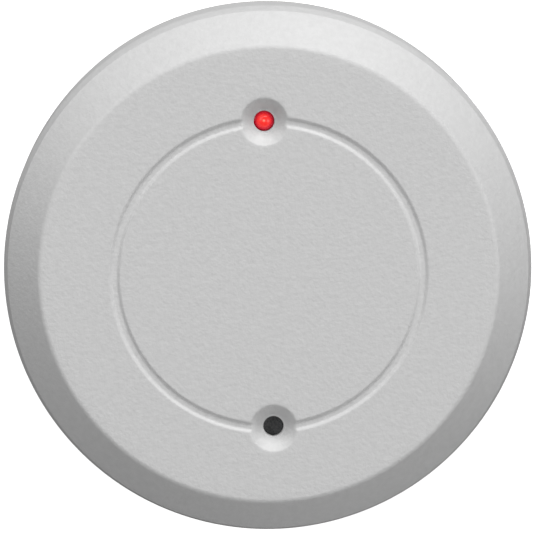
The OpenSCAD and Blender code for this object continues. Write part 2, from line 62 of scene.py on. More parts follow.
# %% [markdown]
# ## From arrays to meshes
# A shape is a function of two numbers, worked out at once for a whole grid of them. The grid's points then
# need faces between neighbours. Typing faces by hand, or adding vertices one by one, would be slow and
# hard to change, so one helper turns a grid into quads and another one puts everything into a Blender
# mesh. Arrays are in millimetres, because the real part's sizes are; the mesh is in metres, as the frame
# is.

# %% Grids, rings and lofts
def net(points, around=False):
    """Quads between neighbours of a rows x columns x 3 grid. around joins the last column to the first."""
    rows, columns = points.shape[:2]
    number = np.arange(rows * columns).reshape(rows, columns)
    if around:
        number = np.concatenate([number, number[:, :1]], axis=1)
    quads = np.stack([number[:-1, :-1], number[:-1, 1:], number[1:, 1:], number[1:, :-1]], axis=-1)
    return points.reshape(-1, 3), quads.reshape(-1, 4).tolist()


def loft(rings):
    """A closed skin through a stack of rings, levels x around x 3, with a lid of one face at each end."""
    points, faces = net(rings, around=True)
    count = rings.shape[1]
    faces.append(list(range(count)))
    faces.append(list(range(len(points) - count, len(points))))
    return points, faces


def joined(parts):
    """Several (points, faces) pairs as one."""
    points, faces, start = [], [], 0
    for some_points, some_faces in parts:
        points.append(some_points)
        faces += [[start + i for i in face] for face in some_faces]
        start += len(some_points)
    return np.concatenate(points), faces


def piece(name, shape, finish, body, stands_for=(), sharp=35):
    """A mesh object from (points, faces) in millimetres. Seams are merged, faces turned outwards, and edges
    flatter than the angle sharp are smoothed. The piece rides on its body, if it is given one, and stands
    for CAD nodes, which are hidden."""
    mesh = bpy.data.meshes.new(name)
    mesh.from_pydata((shape[0] * MM).tolist(), [], shape[1])
    work = bmesh.new()
    work.from_mesh(mesh)
    bmesh.ops.remove_doubles(work, verts=work.verts, dist=2e-7)
    bmesh.ops.recalc_face_normals(work, faces=work.faces)
    open_edges = sum(not edge.is_manifold for edge in work.edges)
    work.to_mesh(mesh)
    work.free()
    mesh.shade_smooth()
    mesh.set_sharp_from_angle(angle=radians(sharp))
    mesh.materials.append(finish)
    thing = bpy.data.objects.new(name, mesh)
    bpy.context.scene.collection.objects.link(thing)
    if body:
        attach(thing, body)
    if stands_for:
        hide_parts(*stands_for)
    print(f"{name}: {len(mesh.polygons)} faces, {open_edges} open edges")
    return thing


# %% [markdown]
# ## Finishes
# Moulded plastic is never one flat colour. The steel mould was eaten away by sparks, and the part carries
# that fine grain; the melt leaves a faint cloudiness; and fingers and dust change the gloss a little. So
# each plastic has three noises on Object coordinates: one for the grain's bump, one for the cloud in the
# colour, one for the gloss. An image texture could show the same, but it would have to be stored and laid
# out; a noise has neither.

# %% A material from noises
def node(tree, kind, settings=(), **inputs):
    """Adds one node, sets its properties and the values of its input sockets, and returns it."""
    made = tree.nodes.new(kind)
    for key, value in dict(settings).items():
        setattr(made, key, value)
    for key, value in inputs.items():
        made.inputs[key.replace("_", " ")].default_value = value
    return made


def blank(name):
    """An empty node material with its shader and output, and the place that its patterns are read at."""
    material = bpy.data.materials.new(name)
    material.use_nodes = True
    tree = material.node_tree
    shader = tree.nodes["Principled BSDF"]
    place = node(tree, "ShaderNodeTexCoord").outputs["Object"]
    return material, tree, shader, place


def noise(tree, place, grain_mm, detail=2.0, roughness=0.5):
    """Noise whose blobs are about grain_mm across."""
    made = node(tree, "ShaderNodeTexNoise", Scale=1 / (grain_mm * MM), Detail=detail, Roughness=roughness)
    tree.links.new(place, made.inputs["Vector"])
    return made.outputs["Fac"]


def mapped(tree, value, low, high):
    """Spreads a noise's middle values, 0.3 to 0.7, over low to high."""
    made = node(tree, "ShaderNodeMapRange", From_Min=0.3, From_Max=0.7, To_Min=low, To_Max=high)
    tree.links.new(value, made.inputs["Value"])
    return made.outputs["Result"]


def two_colours(tree, factor, first, second):
    """Mixes two colours by a factor."""
    made = node(tree, "ShaderNodeMix", {"data_type": "RGBA"})
    made.inputs["A"].default_value = (*first, 1)
    made.inputs["B"].default_value = (*second, 1)
    tree.links.new(factor, made.inputs["Factor"])
    return made.outputs["Result"]


def sums(tree, operation, value, other):
    """A Math node: the operation on a socket and another socket, or the numbers in a list."""
    made = node(tree, "ShaderNodeMath", {"operation": operation})
    tree.links.new(value, made.inputs[0])
    if isinstance(other, list):
        for place, number in enumerate(other):
            made.inputs[place + 1].default_value = number
    else:
        tree.links.new(other, made.inputs[1])
    return made.outputs[0]


def within(tree, value, middle_mm, reach_mm):
    """1 where a coordinate is within reach of the middle, else 0."""
    return sums(tree, "COMPARE", value, [middle_mm * MM, reach_mm * MM])


def bumped(tree, shader, height, depth_mm):
    """Lets a height pattern stand depth_mm proud."""
    made = node(tree, "ShaderNodeBump", Distance=depth_mm * MM, Strength=1.0)
    tree.links.new(height, made.inputs["Height"])
    tree.links.new(made.outputs["Normal"], shader.inputs["Normal"])


def moulded(name, colour, cloud=0.03, cloud_mm=4.0, gloss=(0.45, 0.6), grain_mm=0.25, grain_depth=0.006,
            specular=0.5, metallic=0.0):
    """Plastic, paint or plated metal: a clouded colour, a varying gloss and a fine grain. The clouds
    are darker by twice cloud, and gloss is a range of roughness."""
    material, tree, shader, place = blank(name)
    other = tuple(c * (1 - 2 * cloud) for c in colour)
    factor = mapped(tree, noise(tree, place, cloud_mm, 3.0), 0.0, 1.0)
    tree.links.new(two_colours(tree, factor, colour, other), shader.inputs["Base Color"])
    tree.links.new(mapped(tree, noise(tree, place, 2.3 * cloud_mm), *gloss), shader.inputs["Roughness"])
    shader.inputs["Specular IOR Level"].default_value = specular
    shader.inputs["Metallic"].default_value = metallic
    bumped(tree, shader, noise(tree, place, grain_mm, 3.0), grain_depth)
    return material


cover_plastic = moulded("cover_plastic", (0.61, 0.61, 0.61), cloud=0.03, cloud_mm=1.1, gloss=(0.5, 0.62),
                        grain_mm=0.6, grain_depth=0.065, specular=0.4)

# %% [markdown]
# ## The camera
# The detector is seen from almost straight above, from far enough away that its side wall shows only as a
# thin rim on the side that leans towards the camera. A long lens does that. The roll turns the picture a
# little, because the part doesn't lie quite square.

# %% Camera
def camera_matrix(target, distance, lean, roll):
    """The camera's axes and place: back points from the target to the camera, leaning by the two angles
    towards +X and +Y, and up is +Y turned by the roll."""
    back = np.array([np.tan(lean[0]), np.tan(lean[1]), 1.0])
    back /= np.linalg.norm(back)
    right = np.cross([sin(roll), cos(roll), 0], back)
    right /= np.linalg.norm(right)
    matrix = np.eye(4)
    matrix[:3, 0] = right
    matrix[:3, 1] = np.cross(back, right)
    matrix[:3, 2] = back
    matrix[:3, 3] = np.array(target) + distance * back
    return matrix


LENS_MM, DISTANCE = 208.7, 0.501
TARGET = (-0.00023, 0.00045, 0.012)
LEAN, ROLL = (radians(-0.8), radians(6.94)), radians(1.75)
lens_data = bpy.data.cameras.new("camera")
lens_data.lens = LENS_MM
lens_data.sensor_width = 36
camera = bpy.data.objects.new("camera", lens_data)
bpy.context.scene.collection.objects.link(camera)
camera.matrix_world = camera_matrix(TARGET, DISTANCE, LEAN, ROLL).T.tolist()
bpy.context.scene.camera = camera
print("camera:", [round(value, 4) for value in camera.matrix_world.translation], "m")

# %% [markdown]
# ## Floor and light
# A white table, lit so evenly that it has hardly any shadow, and one soft light beyond the upper edge of
# the part. The sloping edge of the cover shows best what the light does: it is bright where it faces the
# light, and dark on the far side. Sky light fills the dark side; the table sends no light back onto the
# part.

# %% Floor, sky and lamps
def floor_sheet(half_width, z):
    """A flat square of 8 x 8 quads at height z."""
    line = np.linspace(-half_width, half_width, 9)
    x, y = np.meshgrid(line, line)
    return net(np.stack([x, y, np.full_like(x, z)], axis=-1))


table_white, table_tree, table_shader, table_place = blank("table_white")
table_cloud = mapped(table_tree, noise(table_tree, table_place, 30.0), 0.0, 1.0)
table_tree.links.new(two_colours(table_tree, table_cloud, (0.9, 0.9, 0.9), (0.88, 0.88, 0.88)),
                     table_shader.inputs["Base Color"])
table_shader.inputs["Roughness"].default_value = 0.9
table_shader.inputs["Specular IOR Level"].default_value = 0.0
table_shader.inputs["Emission Color"].default_value = (1, 1, 1, 1)
table_shader.inputs["Emission Strength"].default_value = 0.72

floor_points, floor_faces = floor_sheet(6000, -0.15)
floor_mesh = bpy.data.meshes.new("table")
floor_mesh.from_pydata((floor_points * MM).tolist(), [], floor_faces)
floor_mesh.materials.append(table_white)
table = bpy.data.objects.new("table", floor_mesh)
bpy.context.scene.collection.objects.link(table)
table.visible_diffuse = False
table.visible_glossy = False
table.visible_shadow = False

sky = bpy.data.worlds.new("sky")
sky.use_nodes = True
bpy.context.scene.world = sky
sky_tree = sky.node_tree
sky_tree.nodes.clear()
sky_out = node(sky_tree, "ShaderNodeOutputWorld")
sky_light = node(sky_tree, "ShaderNodeBackground", Color=(1, 1, 1, 1), Strength=0.165)
sky_backdrop = node(sky_tree, "ShaderNodeBackground", Color=(1, 1, 1, 1), Strength=0.93)
sky_choice = node(sky_tree, "ShaderNodeMixShader")
sky_rays = node(sky_tree, "ShaderNodeLightPath")
sky_tree.links.new(sky_rays.outputs["Is Camera Ray"], sky_choice.inputs[0])
sky_tree.links.new(sky_light.outputs[0], sky_choice.inputs[1])
sky_tree.links.new(sky_backdrop.outputs[0], sky_choice.inputs[2])
sky_tree.links.new(sky_choice.outputs[0], sky_out.inputs["Surface"])


def soft_lamp(name, azimuth, elevation, distance, size, power):
    """A square area lamp at a direction from the part's middle, turned to face it. Azimuth 0 is +Y."""
    data = bpy.data.lights.new(name, "AREA")
    data.shape = "SQUARE"
    data.size = size
    data.energy = power
    lamp = bpy.data.objects.new(name, data)
    bpy.context.scene.collection.objects.link(lamp)
    back = np.array([sin(azimuth) * cos(elevation), cos(azimuth) * cos(elevation), sin(elevation)])
    lamp.location = (back * distance).tolist()
    lamp.rotation_mode = "QUATERNION"
    lamp.rotation_quaternion = (-Vector(back.tolist())).to_track_quat("-Z", "Y")
    return lamp


LAMP_DISTANCE = 1.6
# Name, azimuth and elevation in degrees, size in metres, power in watts
LAMPS = [("key", 18, 22, 0.7, 17.2), ("upper_left", 340, 25, 0.7, 5.4), ("left", 300, 42, 0.7, 5.7),
         ("right", 92, 40, 0.7, 6.8), ("lower", 168, 14, 0.6, 2.2), ("top", 0, 86, 0.6, 3.3)]
for lamp_name, azimuth, elevation, size, power in LAMPS:
    soft_lamp(lamp_name, radians(azimuth), radians(elevation), LAMP_DISTANCE, size, power)
print("lamps:", len(LAMPS), "with", round(sum(lamp[-1] for lamp in LAMPS), 1), "W together")
bpy.context.scene.view_settings.view_transform = "Standard"

# %% [markdown]
# ## The cover
# The cover is one moulding: a round shell with a flat face, a sloping edge and a short skirt. A groove
# runs round the face through two dimples, and each dimple has a hole in its floor. Cutting these into a
# lathe shape with booleans would leave long thin faces and broken shading where the groove meets a dimple.
# Here the faces follow the shape instead. Most of the cover is a profile turned about the middle; round
# each hole a window is left out of that net, and filled with a second net whose lines run from the
# window's edge down into the hole.

# %% Profile of the cover
RIM_R, SHOULDER_R, FACE_R = 43.0, 42.7, 36.6
COVER_Z, TOP_Z, CEILING_Z = 1.8, 21.0, 19.0
SKIRT_R = 41.0
GROOVE_R, GROOVE_HALF, GROOVE_SIDE, GROOVE_DEPTH = 24.6, 0.95, 0.68, 0.36
DIMPLE_R, DIMPLE_FLOOR_R, DIMPLE_FLOOR_Z = 3.75, 1.95, 19.0
PORT_R, BOSS_R, BOSS_Z = 1.65, 5.6, 17.5


def rounded(corners, steps=6):
    """Corners (x, y, radius) as a line whose corners are arcs. The arc's ends lie radius / tan(half the
    angle) from the corner, and its centre radius / sin(half the angle) along the line that halves it."""
    corners = np.asarray(corners, dtype=float)
    line = [corners[:1, :2]]
    for (ax, ay, _), (bx, by, radius), (cx, cy, _) in zip(corners[:-2], corners[1:-1], corners[2:]):
        corner = np.array([[bx, by]])
        if radius > 0:
            u = np.array([ax - bx, ay - by]) / np.hypot(ax - bx, ay - by)
            v = np.array([cx - bx, cy - by]) / np.hypot(cx - bx, cy - by)
            half = np.arccos(np.clip(u @ v, -1, 1)) / 2
            middle = corner[0] + (u + v) / np.linalg.norm(u + v) * radius / np.sin(half)
            first = corner[0] + u * radius / np.tan(half) - middle
            last = corner[0] + v * radius / np.tan(half) - middle
            start = atan2(first[1], first[0])
            swing = atan2(first[0] * last[1] - first[1] * last[0], first @ last)
            angle = start + swing * np.linspace(0, 1, steps + 1)
            corner = middle + radius * np.stack([np.cos(angle), np.sin(angle)], axis=-1)
        line.append(corner)
    line.append(corners[-1:, :2])
    return np.concatenate(line)


def lower_of(a, b, width):
    """The lower of two heights, with the crease between them rounded over about the width."""
    return (a + b) / 2 - np.sqrt((a - b) ** 2 + width ** 2) / 2


def face_height(r):
    """Height of the face at radius r: flat, but for a groove with a flat bottom and soft sides, which go
    down by (1 - cos) / 2 of half a turn over the width of a side."""
    share = np.clip((GROOVE_HALF - np.abs(r - GROOVE_R)) / GROOVE_SIDE, 0, 1)
    return TOP_Z - GROOVE_DEPTH * (1 - np.cos(pi * share)) / 2


def dimple_height(rho):
    """Height of a dimple's cone and flat floor at the distance rho from the hole's axis."""
    slope = (TOP_Z - DIMPLE_FLOOR_Z) / (DIMPLE_R - DIMPLE_FLOOR_R)
    cone = DIMPLE_FLOOR_Z + slope * (rho - DIMPLE_FLOOR_R)
    return -lower_of(-cone, -DIMPLE_FLOOR_Z, 0.1)


WINDOW = 15
window_r = GROOVE_R * radians(WINDOW)
groove_band = 1.3
stations = np.concatenate([
    np.linspace(GROOVE_R - window_r, GROOVE_R - groove_band, 4)[:-1],
    np.linspace(GROOVE_R - groove_band, GROOVE_R + groove_band, 21),
    np.linspace(GROOVE_R + groove_band, GROOVE_R + window_r, 4)[1:]])
hub_r = np.array([0, 4, 9, 14])
face_line = np.concatenate([hub_r, stations, [33.5]])
rim_line = rounded([(34.5, TOP_Z, 0), (FACE_R, TOP_Z, 1.3), (41.95, 15.56, 0.3), (SHOULDER_R, 12.9, 1.2),
                    (42.76, 12.1, 0), (42.97, 3.02, 0), (42.972, 3.0, 0), (RIM_R, COVER_Z, 0.25),
                    (SKIRT_R, COVER_Z, 0.2), (SKIRT_R, 4, 0)], 7)
print("face stations:", len(face_line), "rim points:", len(rim_line))

# %% [markdown]
# The shell is the same all the way round, except for two things: the catches inside, which the latches of
# the base hold, and a notch in the rim, where a screwdriver lifts the cover. Both only push points of the
# turned net in or out, so they need no boolean either. The net gets a column on each side of their ends,
# so the ends are steep.

# %% Turned surface of the cover
LATCH_ANGLES = (90, 200, 340)
LATCH_HALF = 7.0
CATCH_R = 40.1
NOTCH_ANGLE, NOTCH_HALF, NOTCH_Y, NOTCH_TOP = 270, 5.25, -42.2, 3.01
STEP = 0.25

inner_line = np.concatenate([
    rounded([(SKIRT_R, 4, 0), (SKIRT_R, 6.2, 0), (SKIRT_R, 6.9, 0), (SKIRT_R, 8.0, 0), (SKIRT_R, 8.1, 0),
             (SKIRT_R, 10.5, 0), (SKIRT_R, 13.68, 0.8), (35.76, CEILING_Z, 0.8), (32.5, CEILING_Z, 0)]),
    np.stack([stations, np.full_like(stations, CEILING_Z)], axis=-1)[::-1],
    np.stack([hub_r, np.full_like(hub_r, CEILING_Z, dtype=float)], axis=-1)[::-1]])
outer_line = np.concatenate([np.stack([face_line, face_height(face_line)], axis=-1), rim_line])
cover_line = np.concatenate([outer_line, inner_line[1:]])

steps_at = [angle + side * (LATCH_HALF + STEP) for angle in LATCH_ANGLES for side in (-1, 1)]
steps_at += [NOTCH_ANGLE + side * (NOTCH_HALF + extra) for side in (-1, 1) for extra in (0, STEP)]
cover_angles = np.unique(np.concatenate([np.arange(360.0), steps_at]))


def turned_cover(line, angles):
    """The profile (r, z) turned about Z through the angles. Behind the catches, between their two heights,
    the radius is the catch's; and in front of the lever notch y goes no further out than its floor."""
    r, z = (np.repeat(part[:, None], len(angles), axis=1) for part in line.T)
    theta = np.broadcast_to(angles, r.shape)
    inside = np.arange(len(line))[:, None] >= len(outer_line)
    for latch in LATCH_ANGLES:
        behind = np.abs(theta - latch) <= LATCH_HALF
        r = np.where(inside & behind & (z > 6.5) & (z < 8.05), CATCH_R, r)
    x, y = r * np.cos(np.radians(theta)), r * np.sin(np.radians(theta))
    notch = (np.abs(theta - NOTCH_ANGLE) <= NOTCH_HALF) & (z < NOTCH_TOP)
    return np.stack([x, np.where(notch, np.maximum(y, NOTCH_Y), y), z], axis=-1)


def net_with_windows(points, angles, windows):
    """The turned net, less the quads inside a window: those whose middle is on the flat face or ceiling,
    between the window's radii and within WINDOW degrees of its middle."""
    points, quads = net(points, around=True)
    quads = np.array(quads)
    middle = points[quads].mean(axis=1)
    radius = np.hypot(middle[:, 0], middle[:, 1])
    angle = np.degrees(np.arctan2(middle[:, 1], middle[:, 0]))
    level = (middle[:, 2] > CEILING_Z - 0.1) & (np.abs(radius - GROOVE_R) < window_r)
    for window in windows:
        away = np.abs((angle - window + 180) % 360 - 180)
        keep = ~(level & (away < WINDOW))
        quads, level, angle = quads[keep], level[keep], angle[keep]
    return points, quads.tolist()


# %% [markdown]
# ### The dimples
# A dimple's net starts on its window's edge, at the very points where the turned net stops, and ends on
# the matching window in the ceiling. In between it runs over the face, down the cone, through the hole and
# round the boss that thickens the cover behind it. Near the groove the lines keep to one radius of the
# cover until they reach the dimple, so the groove's edges stay crisp right up to the cone.

# %% Nets through the dimples
def window_edge(angles, middle):
    """Points (turn, radius) once round a window's edge, where turn is the angle back from its middle."""
    away = (middle - angles + 180) % 360 - 180
    across = np.sort(away[np.abs(away) <= WINDOW + 1e-6])
    up, down = stations[1:-1], stations[1:-1][::-1]
    sides = [(across[::-1], np.full_like(across, stations[-1])), (np.full_like(down, across[0]), down),
             (across, np.full_like(across, stations[0])), (np.full_like(up, across[-1]), up)]
    return np.concatenate([np.stack(side) for side in sides], axis=1)


def spoke_angles(edge, rho):
    """Where each line from a window's edge meets the circle rho about the hole. By its plain direction,
    except that lines in the groove's band meet it at their own radius r of the cover: on the circle,
    r^2 = GROOVE_R^2 + rho^2 + 2 GROOVE_R rho sin(spoke)."""
    turn, radius = np.radians(edge[0]), edge[1]
    along, out = radius * np.sin(turn), radius * np.cos(turn) - GROOVE_R
    spoke = np.arctan2(out, along)
    limit = GROOVE_R + groove_band * np.array([-1, 1])
    kept = np.arcsin((limit ** 2 - GROOVE_R ** 2 - rho ** 2) / (2 * GROOVE_R * rho))
    ends = np.arctan2(stations[[0, -1]] * cos(radians(WINDOW)) - GROOVE_R,
                      stations[[0, -1]] * sin(radians(WINDOW)))
    own = np.arcsin(np.clip((radius ** 2 - GROOVE_R ** 2 - rho ** 2) / (2 * GROOVE_R * rho), -1, 1))
    side = np.where(np.abs(radius - GROOVE_R) <= groove_band + 1e-6, own,
                    np.interp(radius, [stations[0], limit[0], limit[1], stations[-1]],
                              [ends[0], kept[0], kept[1], ends[1]]))
    on_side = np.abs(np.abs(edge[0]) - WINDOW) < 1e-6
    return np.where(on_side, np.where(along > 0, side, pi - side), spoke)


def dimple_net(middle):
    """One window's net: rows from the face's window edge to the ceiling's. Rows over the face and the
    ceiling lie between the edge and a circle round the hole, in angle and radius; others are circles."""
    edge = window_edge(cover_angles, middle)
    face_rho, boss_foot = DIMPLE_R + 0.5, BOSS_R + 0.2
    spoke = spoke_angles(edge, face_rho)

    def circle(rho):
        along, out = rho * np.cos(spoke), GROOVE_R + rho * np.sin(spoke)
        return np.degrees(np.arctan2(along, out)), np.hypot(along, out)

    def row(rho, share, height):
        """share 0 is on the circle and share 1 on the window's edge; height is z, or a function for it."""
        turn, radius = circle(rho)
        turn, radius = turn + share * (edge[0] - turn), radius + share * (edge[1] - radius)
        angle = np.radians(middle - turn)
        x, y = radius * np.cos(angle), radius * np.sin(angle)
        hole_x, hole_y = GROOVE_R * cos(radians(middle)), GROOVE_R * sin(radians(middle))
        rho = np.hypot(x - hole_x, y - hole_y)
        z = height(radius, rho) if callable(height) else np.full_like(x, height)
        return np.stack([x, y, z], axis=-1)

    def top(radius, rho):
        far = rho > DIMPLE_R + 1.5
        return np.where(far, face_height(radius), lower_of(face_height(radius), dimple_height(rho), 0.16))

    rows = [row(face_rho, share, top) for share in (1, 0.8, 0.55, 0.3, 0.12)]
    cone = [4.25, 4.05, 3.92, 3.82, 3.72, 3.6, 3.45, 3.2, 2.9, 2.6, 2.35, 2.15, 2.05, 1.95, 1.85, 1.77]
    rows += [row(rho, 0, top) for rho in cone]
    well = rounded([(1.74, DIMPLE_FLOOR_Z, 0), (PORT_R, DIMPLE_FLOOR_Z, 0.08), (PORT_R, BOSS_Z, 0.08),
                    (BOSS_R, BOSS_Z, 0.2), (BOSS_R, CEILING_Z, 0.2), (boss_foot + 0.05, CEILING_Z, 0)], 3)
    rows += [row(rho, 0, z) for rho, z in well[1:-1]]
    rows += [row(boss_foot, share, CEILING_Z) for share in (0, 0.5, 1)]
    return net(np.stack(rows), around=True)


# %% [markdown]
# A ring rib stiffens the flat front from inside, and a post presses on the tamper switch. Each is a closed
# profile turned about its own axis, sunk a little into the ceiling, as the two are one piece of plastic
# there.

# %% Rib, post and the finished cover
def turned(line, centre=(0, 0), sides=96):
    """A closed profile (r, z) turned about an upright axis at the centre."""
    angle = np.linspace(0, 2 * pi, sides, endpoint=False)
    r, z = line[:, 0, None], np.repeat(line[:, 1, None], sides, axis=1)
    points = np.stack([centre[0] + r * np.cos(angle), centre[1] + r * np.sin(angle), z], axis=-1)
    return net(points, around=True)


def closed(line):
    """A profile with its first point again at its end."""
    return np.concatenate([line, line[:1]])


TAMPER_AT = (15.5, 19.3)
rib = closed(rounded([(30.4, 17.6, 0), (31, 17.6, 0.2), (31, 19.3, 0), (29.8, 19.3, 0), (29.8, 17.6, 0.2),
                      (30.4, 17.6, 0)], 3)[:-1])
post = rounded([(0, 14.25, 0), (2, 14.25, 0.25), (2, 19.3, 0), (0, 19.3, 0)], 4)
windows = (90, 270)
cover_shell = net_with_windows(turned_cover(cover_line, cover_angles), cover_angles, windows)
cover_shape = joined([cover_shell] + [dimple_net(window) for window in windows]
                     + [turned(rib, sides=180), turned(post, TAMPER_AT, 48)])
piece("cover_shell", cover_shape, cover_plastic, "cover", ["front_cover"])

# %% [markdown]
# ## The indicator
# The red light is a 3 mm lamp cast in clear red resin, with its dome sunk in the upper dimple. It is a
# lathe shape with one flat on its flange. Its colour runs from a light middle, a painted highlight, to a
# deep red rim, painted shade, and the lens gives off the same colours as a faint painted glow. A gradient
# from the lens's own axis does that.

# %% LED lens
LED_AT, LED_R, LED_DOME_Z, LED_FLAT = (0, 24.6), 1.5, 18, 1.62
lens_line = rounded([(0, 14.4, 0), (1.9, 14.4, 0.1), (1.9, 15.4, 0.15), (LED_R, 15.4, 0.1),
                     (LED_R, LED_DOME_Z, 0)], 3)
dome = np.radians(np.linspace(0, 90, 13))[1:]
dome_line = np.stack([LED_R * np.cos(dome), LED_DOME_Z + LED_R * np.sin(dome)], axis=-1)
lens_line = np.concatenate([lens_line, dome_line])
lens_points, lens_faces = turned(lens_line, LED_AT, 64)
lens_points[:, 0] = np.minimum(lens_points[:, 0], LED_AT[0] + LED_FLAT)


def ring_colours(tree, place, centre, radius, stops):
    """Colours by the distance from an upright axis: 0 at the axis and 1 at the radius. Mapping moves the
    axis to the pattern's origin and drops z. The spherical gradient gives 1 - distance, so the stops count
    from the rim inwards."""
    moved = node(tree, "ShaderNodeMapping", Scale=(1 / (radius * MM), 1 / (radius * MM), 0))
    moved.inputs["Location"].default_value = (-centre[0] / radius, -centre[1] / radius, 0)
    ball = node(tree, "ShaderNodeTexGradient", {"gradient_type": "SPHERICAL"})
    ramp = node(tree, "ShaderNodeValToRGB")
    while len(ramp.color_ramp.elements) < len(stops):
        ramp.color_ramp.elements.new(0.5)
    for element, (position, colour) in zip(ramp.color_ramp.elements, stops):
        element.position = position
        element.color = (*colour, 1)
    tree.links.new(place, moved.inputs["Vector"])
    tree.links.new(moved.outputs["Vector"], ball.inputs["Vector"])
    tree.links.new(ball.outputs["Fac"], ramp.inputs["Fac"])
    return ramp.outputs["Color"]


red_lens, lens_tree, lens_shader, lens_place = blank("red_lens")
# Stops from the rim inwards: a darker rim, painted shade, then the lens's own red, then a light middle, a
# painted highlight.
lens_shade_and_highlight_stops = [(0.0, (0.45, 0.0, 0.015)), (0.2, (0.6, 0.005, 0.02)), (0.4, (0.78, 0.022, 0.02)),
              (0.8, (0.78, 0.026, 0.02)), (1.0, (1.0, 0.2, 0.13))]
lens_red_with_painted_light = ring_colours(lens_tree, lens_place, (LED_AT[0] - 0.05, LED_AT[1] + 0.1), 1.55, lens_shade_and_highlight_stops)
lens_tree.links.new(lens_red_with_painted_light, lens_shader.inputs["Base Color"])
# The emission gives off these painted colours, the painted highlight and painted shade with them, as a
# faint glow.
lens_tree.links.new(lens_red_with_painted_light, lens_shader.inputs["Emission Color"])
lens_shader.inputs["Emission Strength"].default_value = 0.5
lens_tree.links.new(mapped(lens_tree, noise(lens_tree, lens_place, 0.8), 0.2, 0.3),
                    lens_shader.inputs["Roughness"])
bumped(lens_tree, lens_shader, noise(lens_tree, lens_place, 0.5), 0.002)
indicator = piece("indicator_lens", (lens_points, lens_faces), red_lens, "base", ["led_lens"])
indicator.visible_diffuse = False

# %% [markdown]
# ## The microphone behind the port
# A black felt disc keeps dust out of the microphone, and is what shows through the port. Felt is matted
# fibre, so its top is uneven and its edge is soft: the surface is a flat disc plus a few waves that don't
# line up. The capsule is a drawn aluminium can with its rear edge rolled over, and a rubber boot holds it
# against the cover's boss, which seals it.

# %% Felt, capsule and boot
MIC_AT = (0, -24.6)


def felt_top(radius, z, rows=16, sides=72):
    """A disc whose height is z less up to 0.04 mm of three crossed waves, fading to a rounded edge."""
    share = np.linspace(0, 1, rows)[:, None]
    angle = np.linspace(0, 2 * pi, sides, endpoint=False)
    x, y = radius * share * np.cos(angle), radius * share * np.sin(angle)
    waves = np.sin(5.1 * x + 2 * y) + np.sin(4.3 * y - 3.1 * x + 1) + np.sin(7.7 * x * y / radius)
    height = z - 0.013 * (waves + 3) - 0.06 * share ** 8
    return np.stack([MIC_AT[0] + x, MIC_AT[1] + y, height], axis=-1)


top = felt_top(3.88, 17.19)
under = top[-1:].copy()
under[..., 2] = 16.92
hub = under.copy()
hub[..., :2] = MIC_AT
felt_shape = net(np.concatenate([top, under, hub]), around=True)
felt_black = moulded("felt_black", (0.13, 0.132, 0.134), cloud=0.25, cloud_mm=0.25, gloss=(0.85, 0.98),
                     grain_mm=0.09, grain_depth=0.03, specular=0.2)
piece("felt_disc", felt_shape, felt_black, "base", ["microphone_felt"])

capsule_steel = moulded("capsule_steel", (0.50, 0.50, 0.49), cloud=0.05, cloud_mm=1.5, gloss=(0.42, 0.58),
                        grain_mm=0.15, grain_depth=0.001, metallic=1.0)
can_line = rounded([(0, 10.7, 0), (3.95, 10.7, 0.1), (3.95, 10.4, 0.12), (4.85, 10.4, 0.3),
                    (4.85, 16.9, 0.3), (0, 16.9, 0)], 4)
piece("microphone_can", turned(can_line, MIC_AT, 72), capsule_steel, "base",
      ["microphone_capsule"])

boot_rubber = moulded("boot_rubber", (0.035, 0.035, 0.037), cloud=0.1, cloud_mm=1.2, gloss=(0.6, 0.8),
                      grain_mm=0.2, grain_depth=0.006, specular=0.4)
boot_line = closed(rounded([(4.0, 7.2, 0), (6.2, 7.2, 0.3), (6.2, 17.2, 0.3), (5.7, 17.2, 0.1),
                            (5.7, 17.35, 0.1), (4.4, 17.35, 0.1), (4.4, 17.2, 0.05),
                            (4.02, 17.2, 0.1), (4.0, 16.92, 0.0), (4.88, 16.9, 0),
                            (4.88, 10.38, 0), (3.0, 10.38, 0.2), (3.0, 7.2, 0.2), (4.0, 7.2, 0)], 3)[:-1])
piece("microphone_boot_rubber", turned(boot_line, MIC_AT, 72), boot_rubber, "base",
      ["microphone_boot"])

# %% [markdown]
# ## Pieces taken over from the CAD model
# Base, latches, terminal block, chips and pins already have their true shape in the CAD model, but with
# knife edges, which nothing moulded, cut or bent has. Each is copied: loose triangles are merged, flat
# regions made one face again, and every sharp edge rounded by a small bevel. A bevel modifier on the CAD
# mesh itself would follow every triangle's edge. Weighted normals then keep the flat faces flat next to
# the rounded edges.

# %% Copies with rounded edges
BODY = {name: body for body, names in frame["record"]["behaviour"]["bodies"].items() for name in names}


def reworked(name, finish, bevel_mm, steps=2):
    """A copy of a CAD node whose edges over 40 degrees are rounded with the bevel, which replaces it."""
    mesh = frame["nodes"][name].data.copy()
    mesh.name = name + "_finished"
    work = bmesh.new()
    work.from_mesh(mesh)
    bmesh.ops.remove_doubles(work, verts=work.verts, dist=2e-6)
    bmesh.ops.dissolve_limit(work, angle_limit=radians(1), verts=work.verts, edges=work.edges)
    bmesh.ops.recalc_face_normals(work, faces=work.faces)
    edges = [edge for edge in work.edges if edge.is_manifold and edge.calc_face_angle(0) > radians(40)]
    if bevel_mm > 0:
        bmesh.ops.bevel(work, geom=edges, offset=bevel_mm * MM, segments=steps, profile=0.5, affect="EDGES",
                        clamp_overlap=True)
    open_edges = sum(not edge.is_manifold for edge in work.edges)
    work.to_mesh(mesh)
    work.free()
    mesh.shade_smooth()
    mesh.set_sharp_from_angle(angle=radians(50))
    mesh.materials.clear()
    mesh.materials.append(finish)
    mesh.polygons.foreach_set("material_index", np.zeros(len(mesh.polygons), dtype=np.int32))
    thing = bpy.data.objects.new(name + "_finished", mesh)
    bpy.context.scene.collection.objects.link(thing)
    weighted = thing.modifiers.new("weighted", "WEIGHTED_NORMAL")
    weighted.keep_sharp = True
    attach(thing, BODY[name])
    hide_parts(name)
    print(f"{thing.name}: {len(mesh.polygons)} faces, {open_edges} open edges")
    return thing


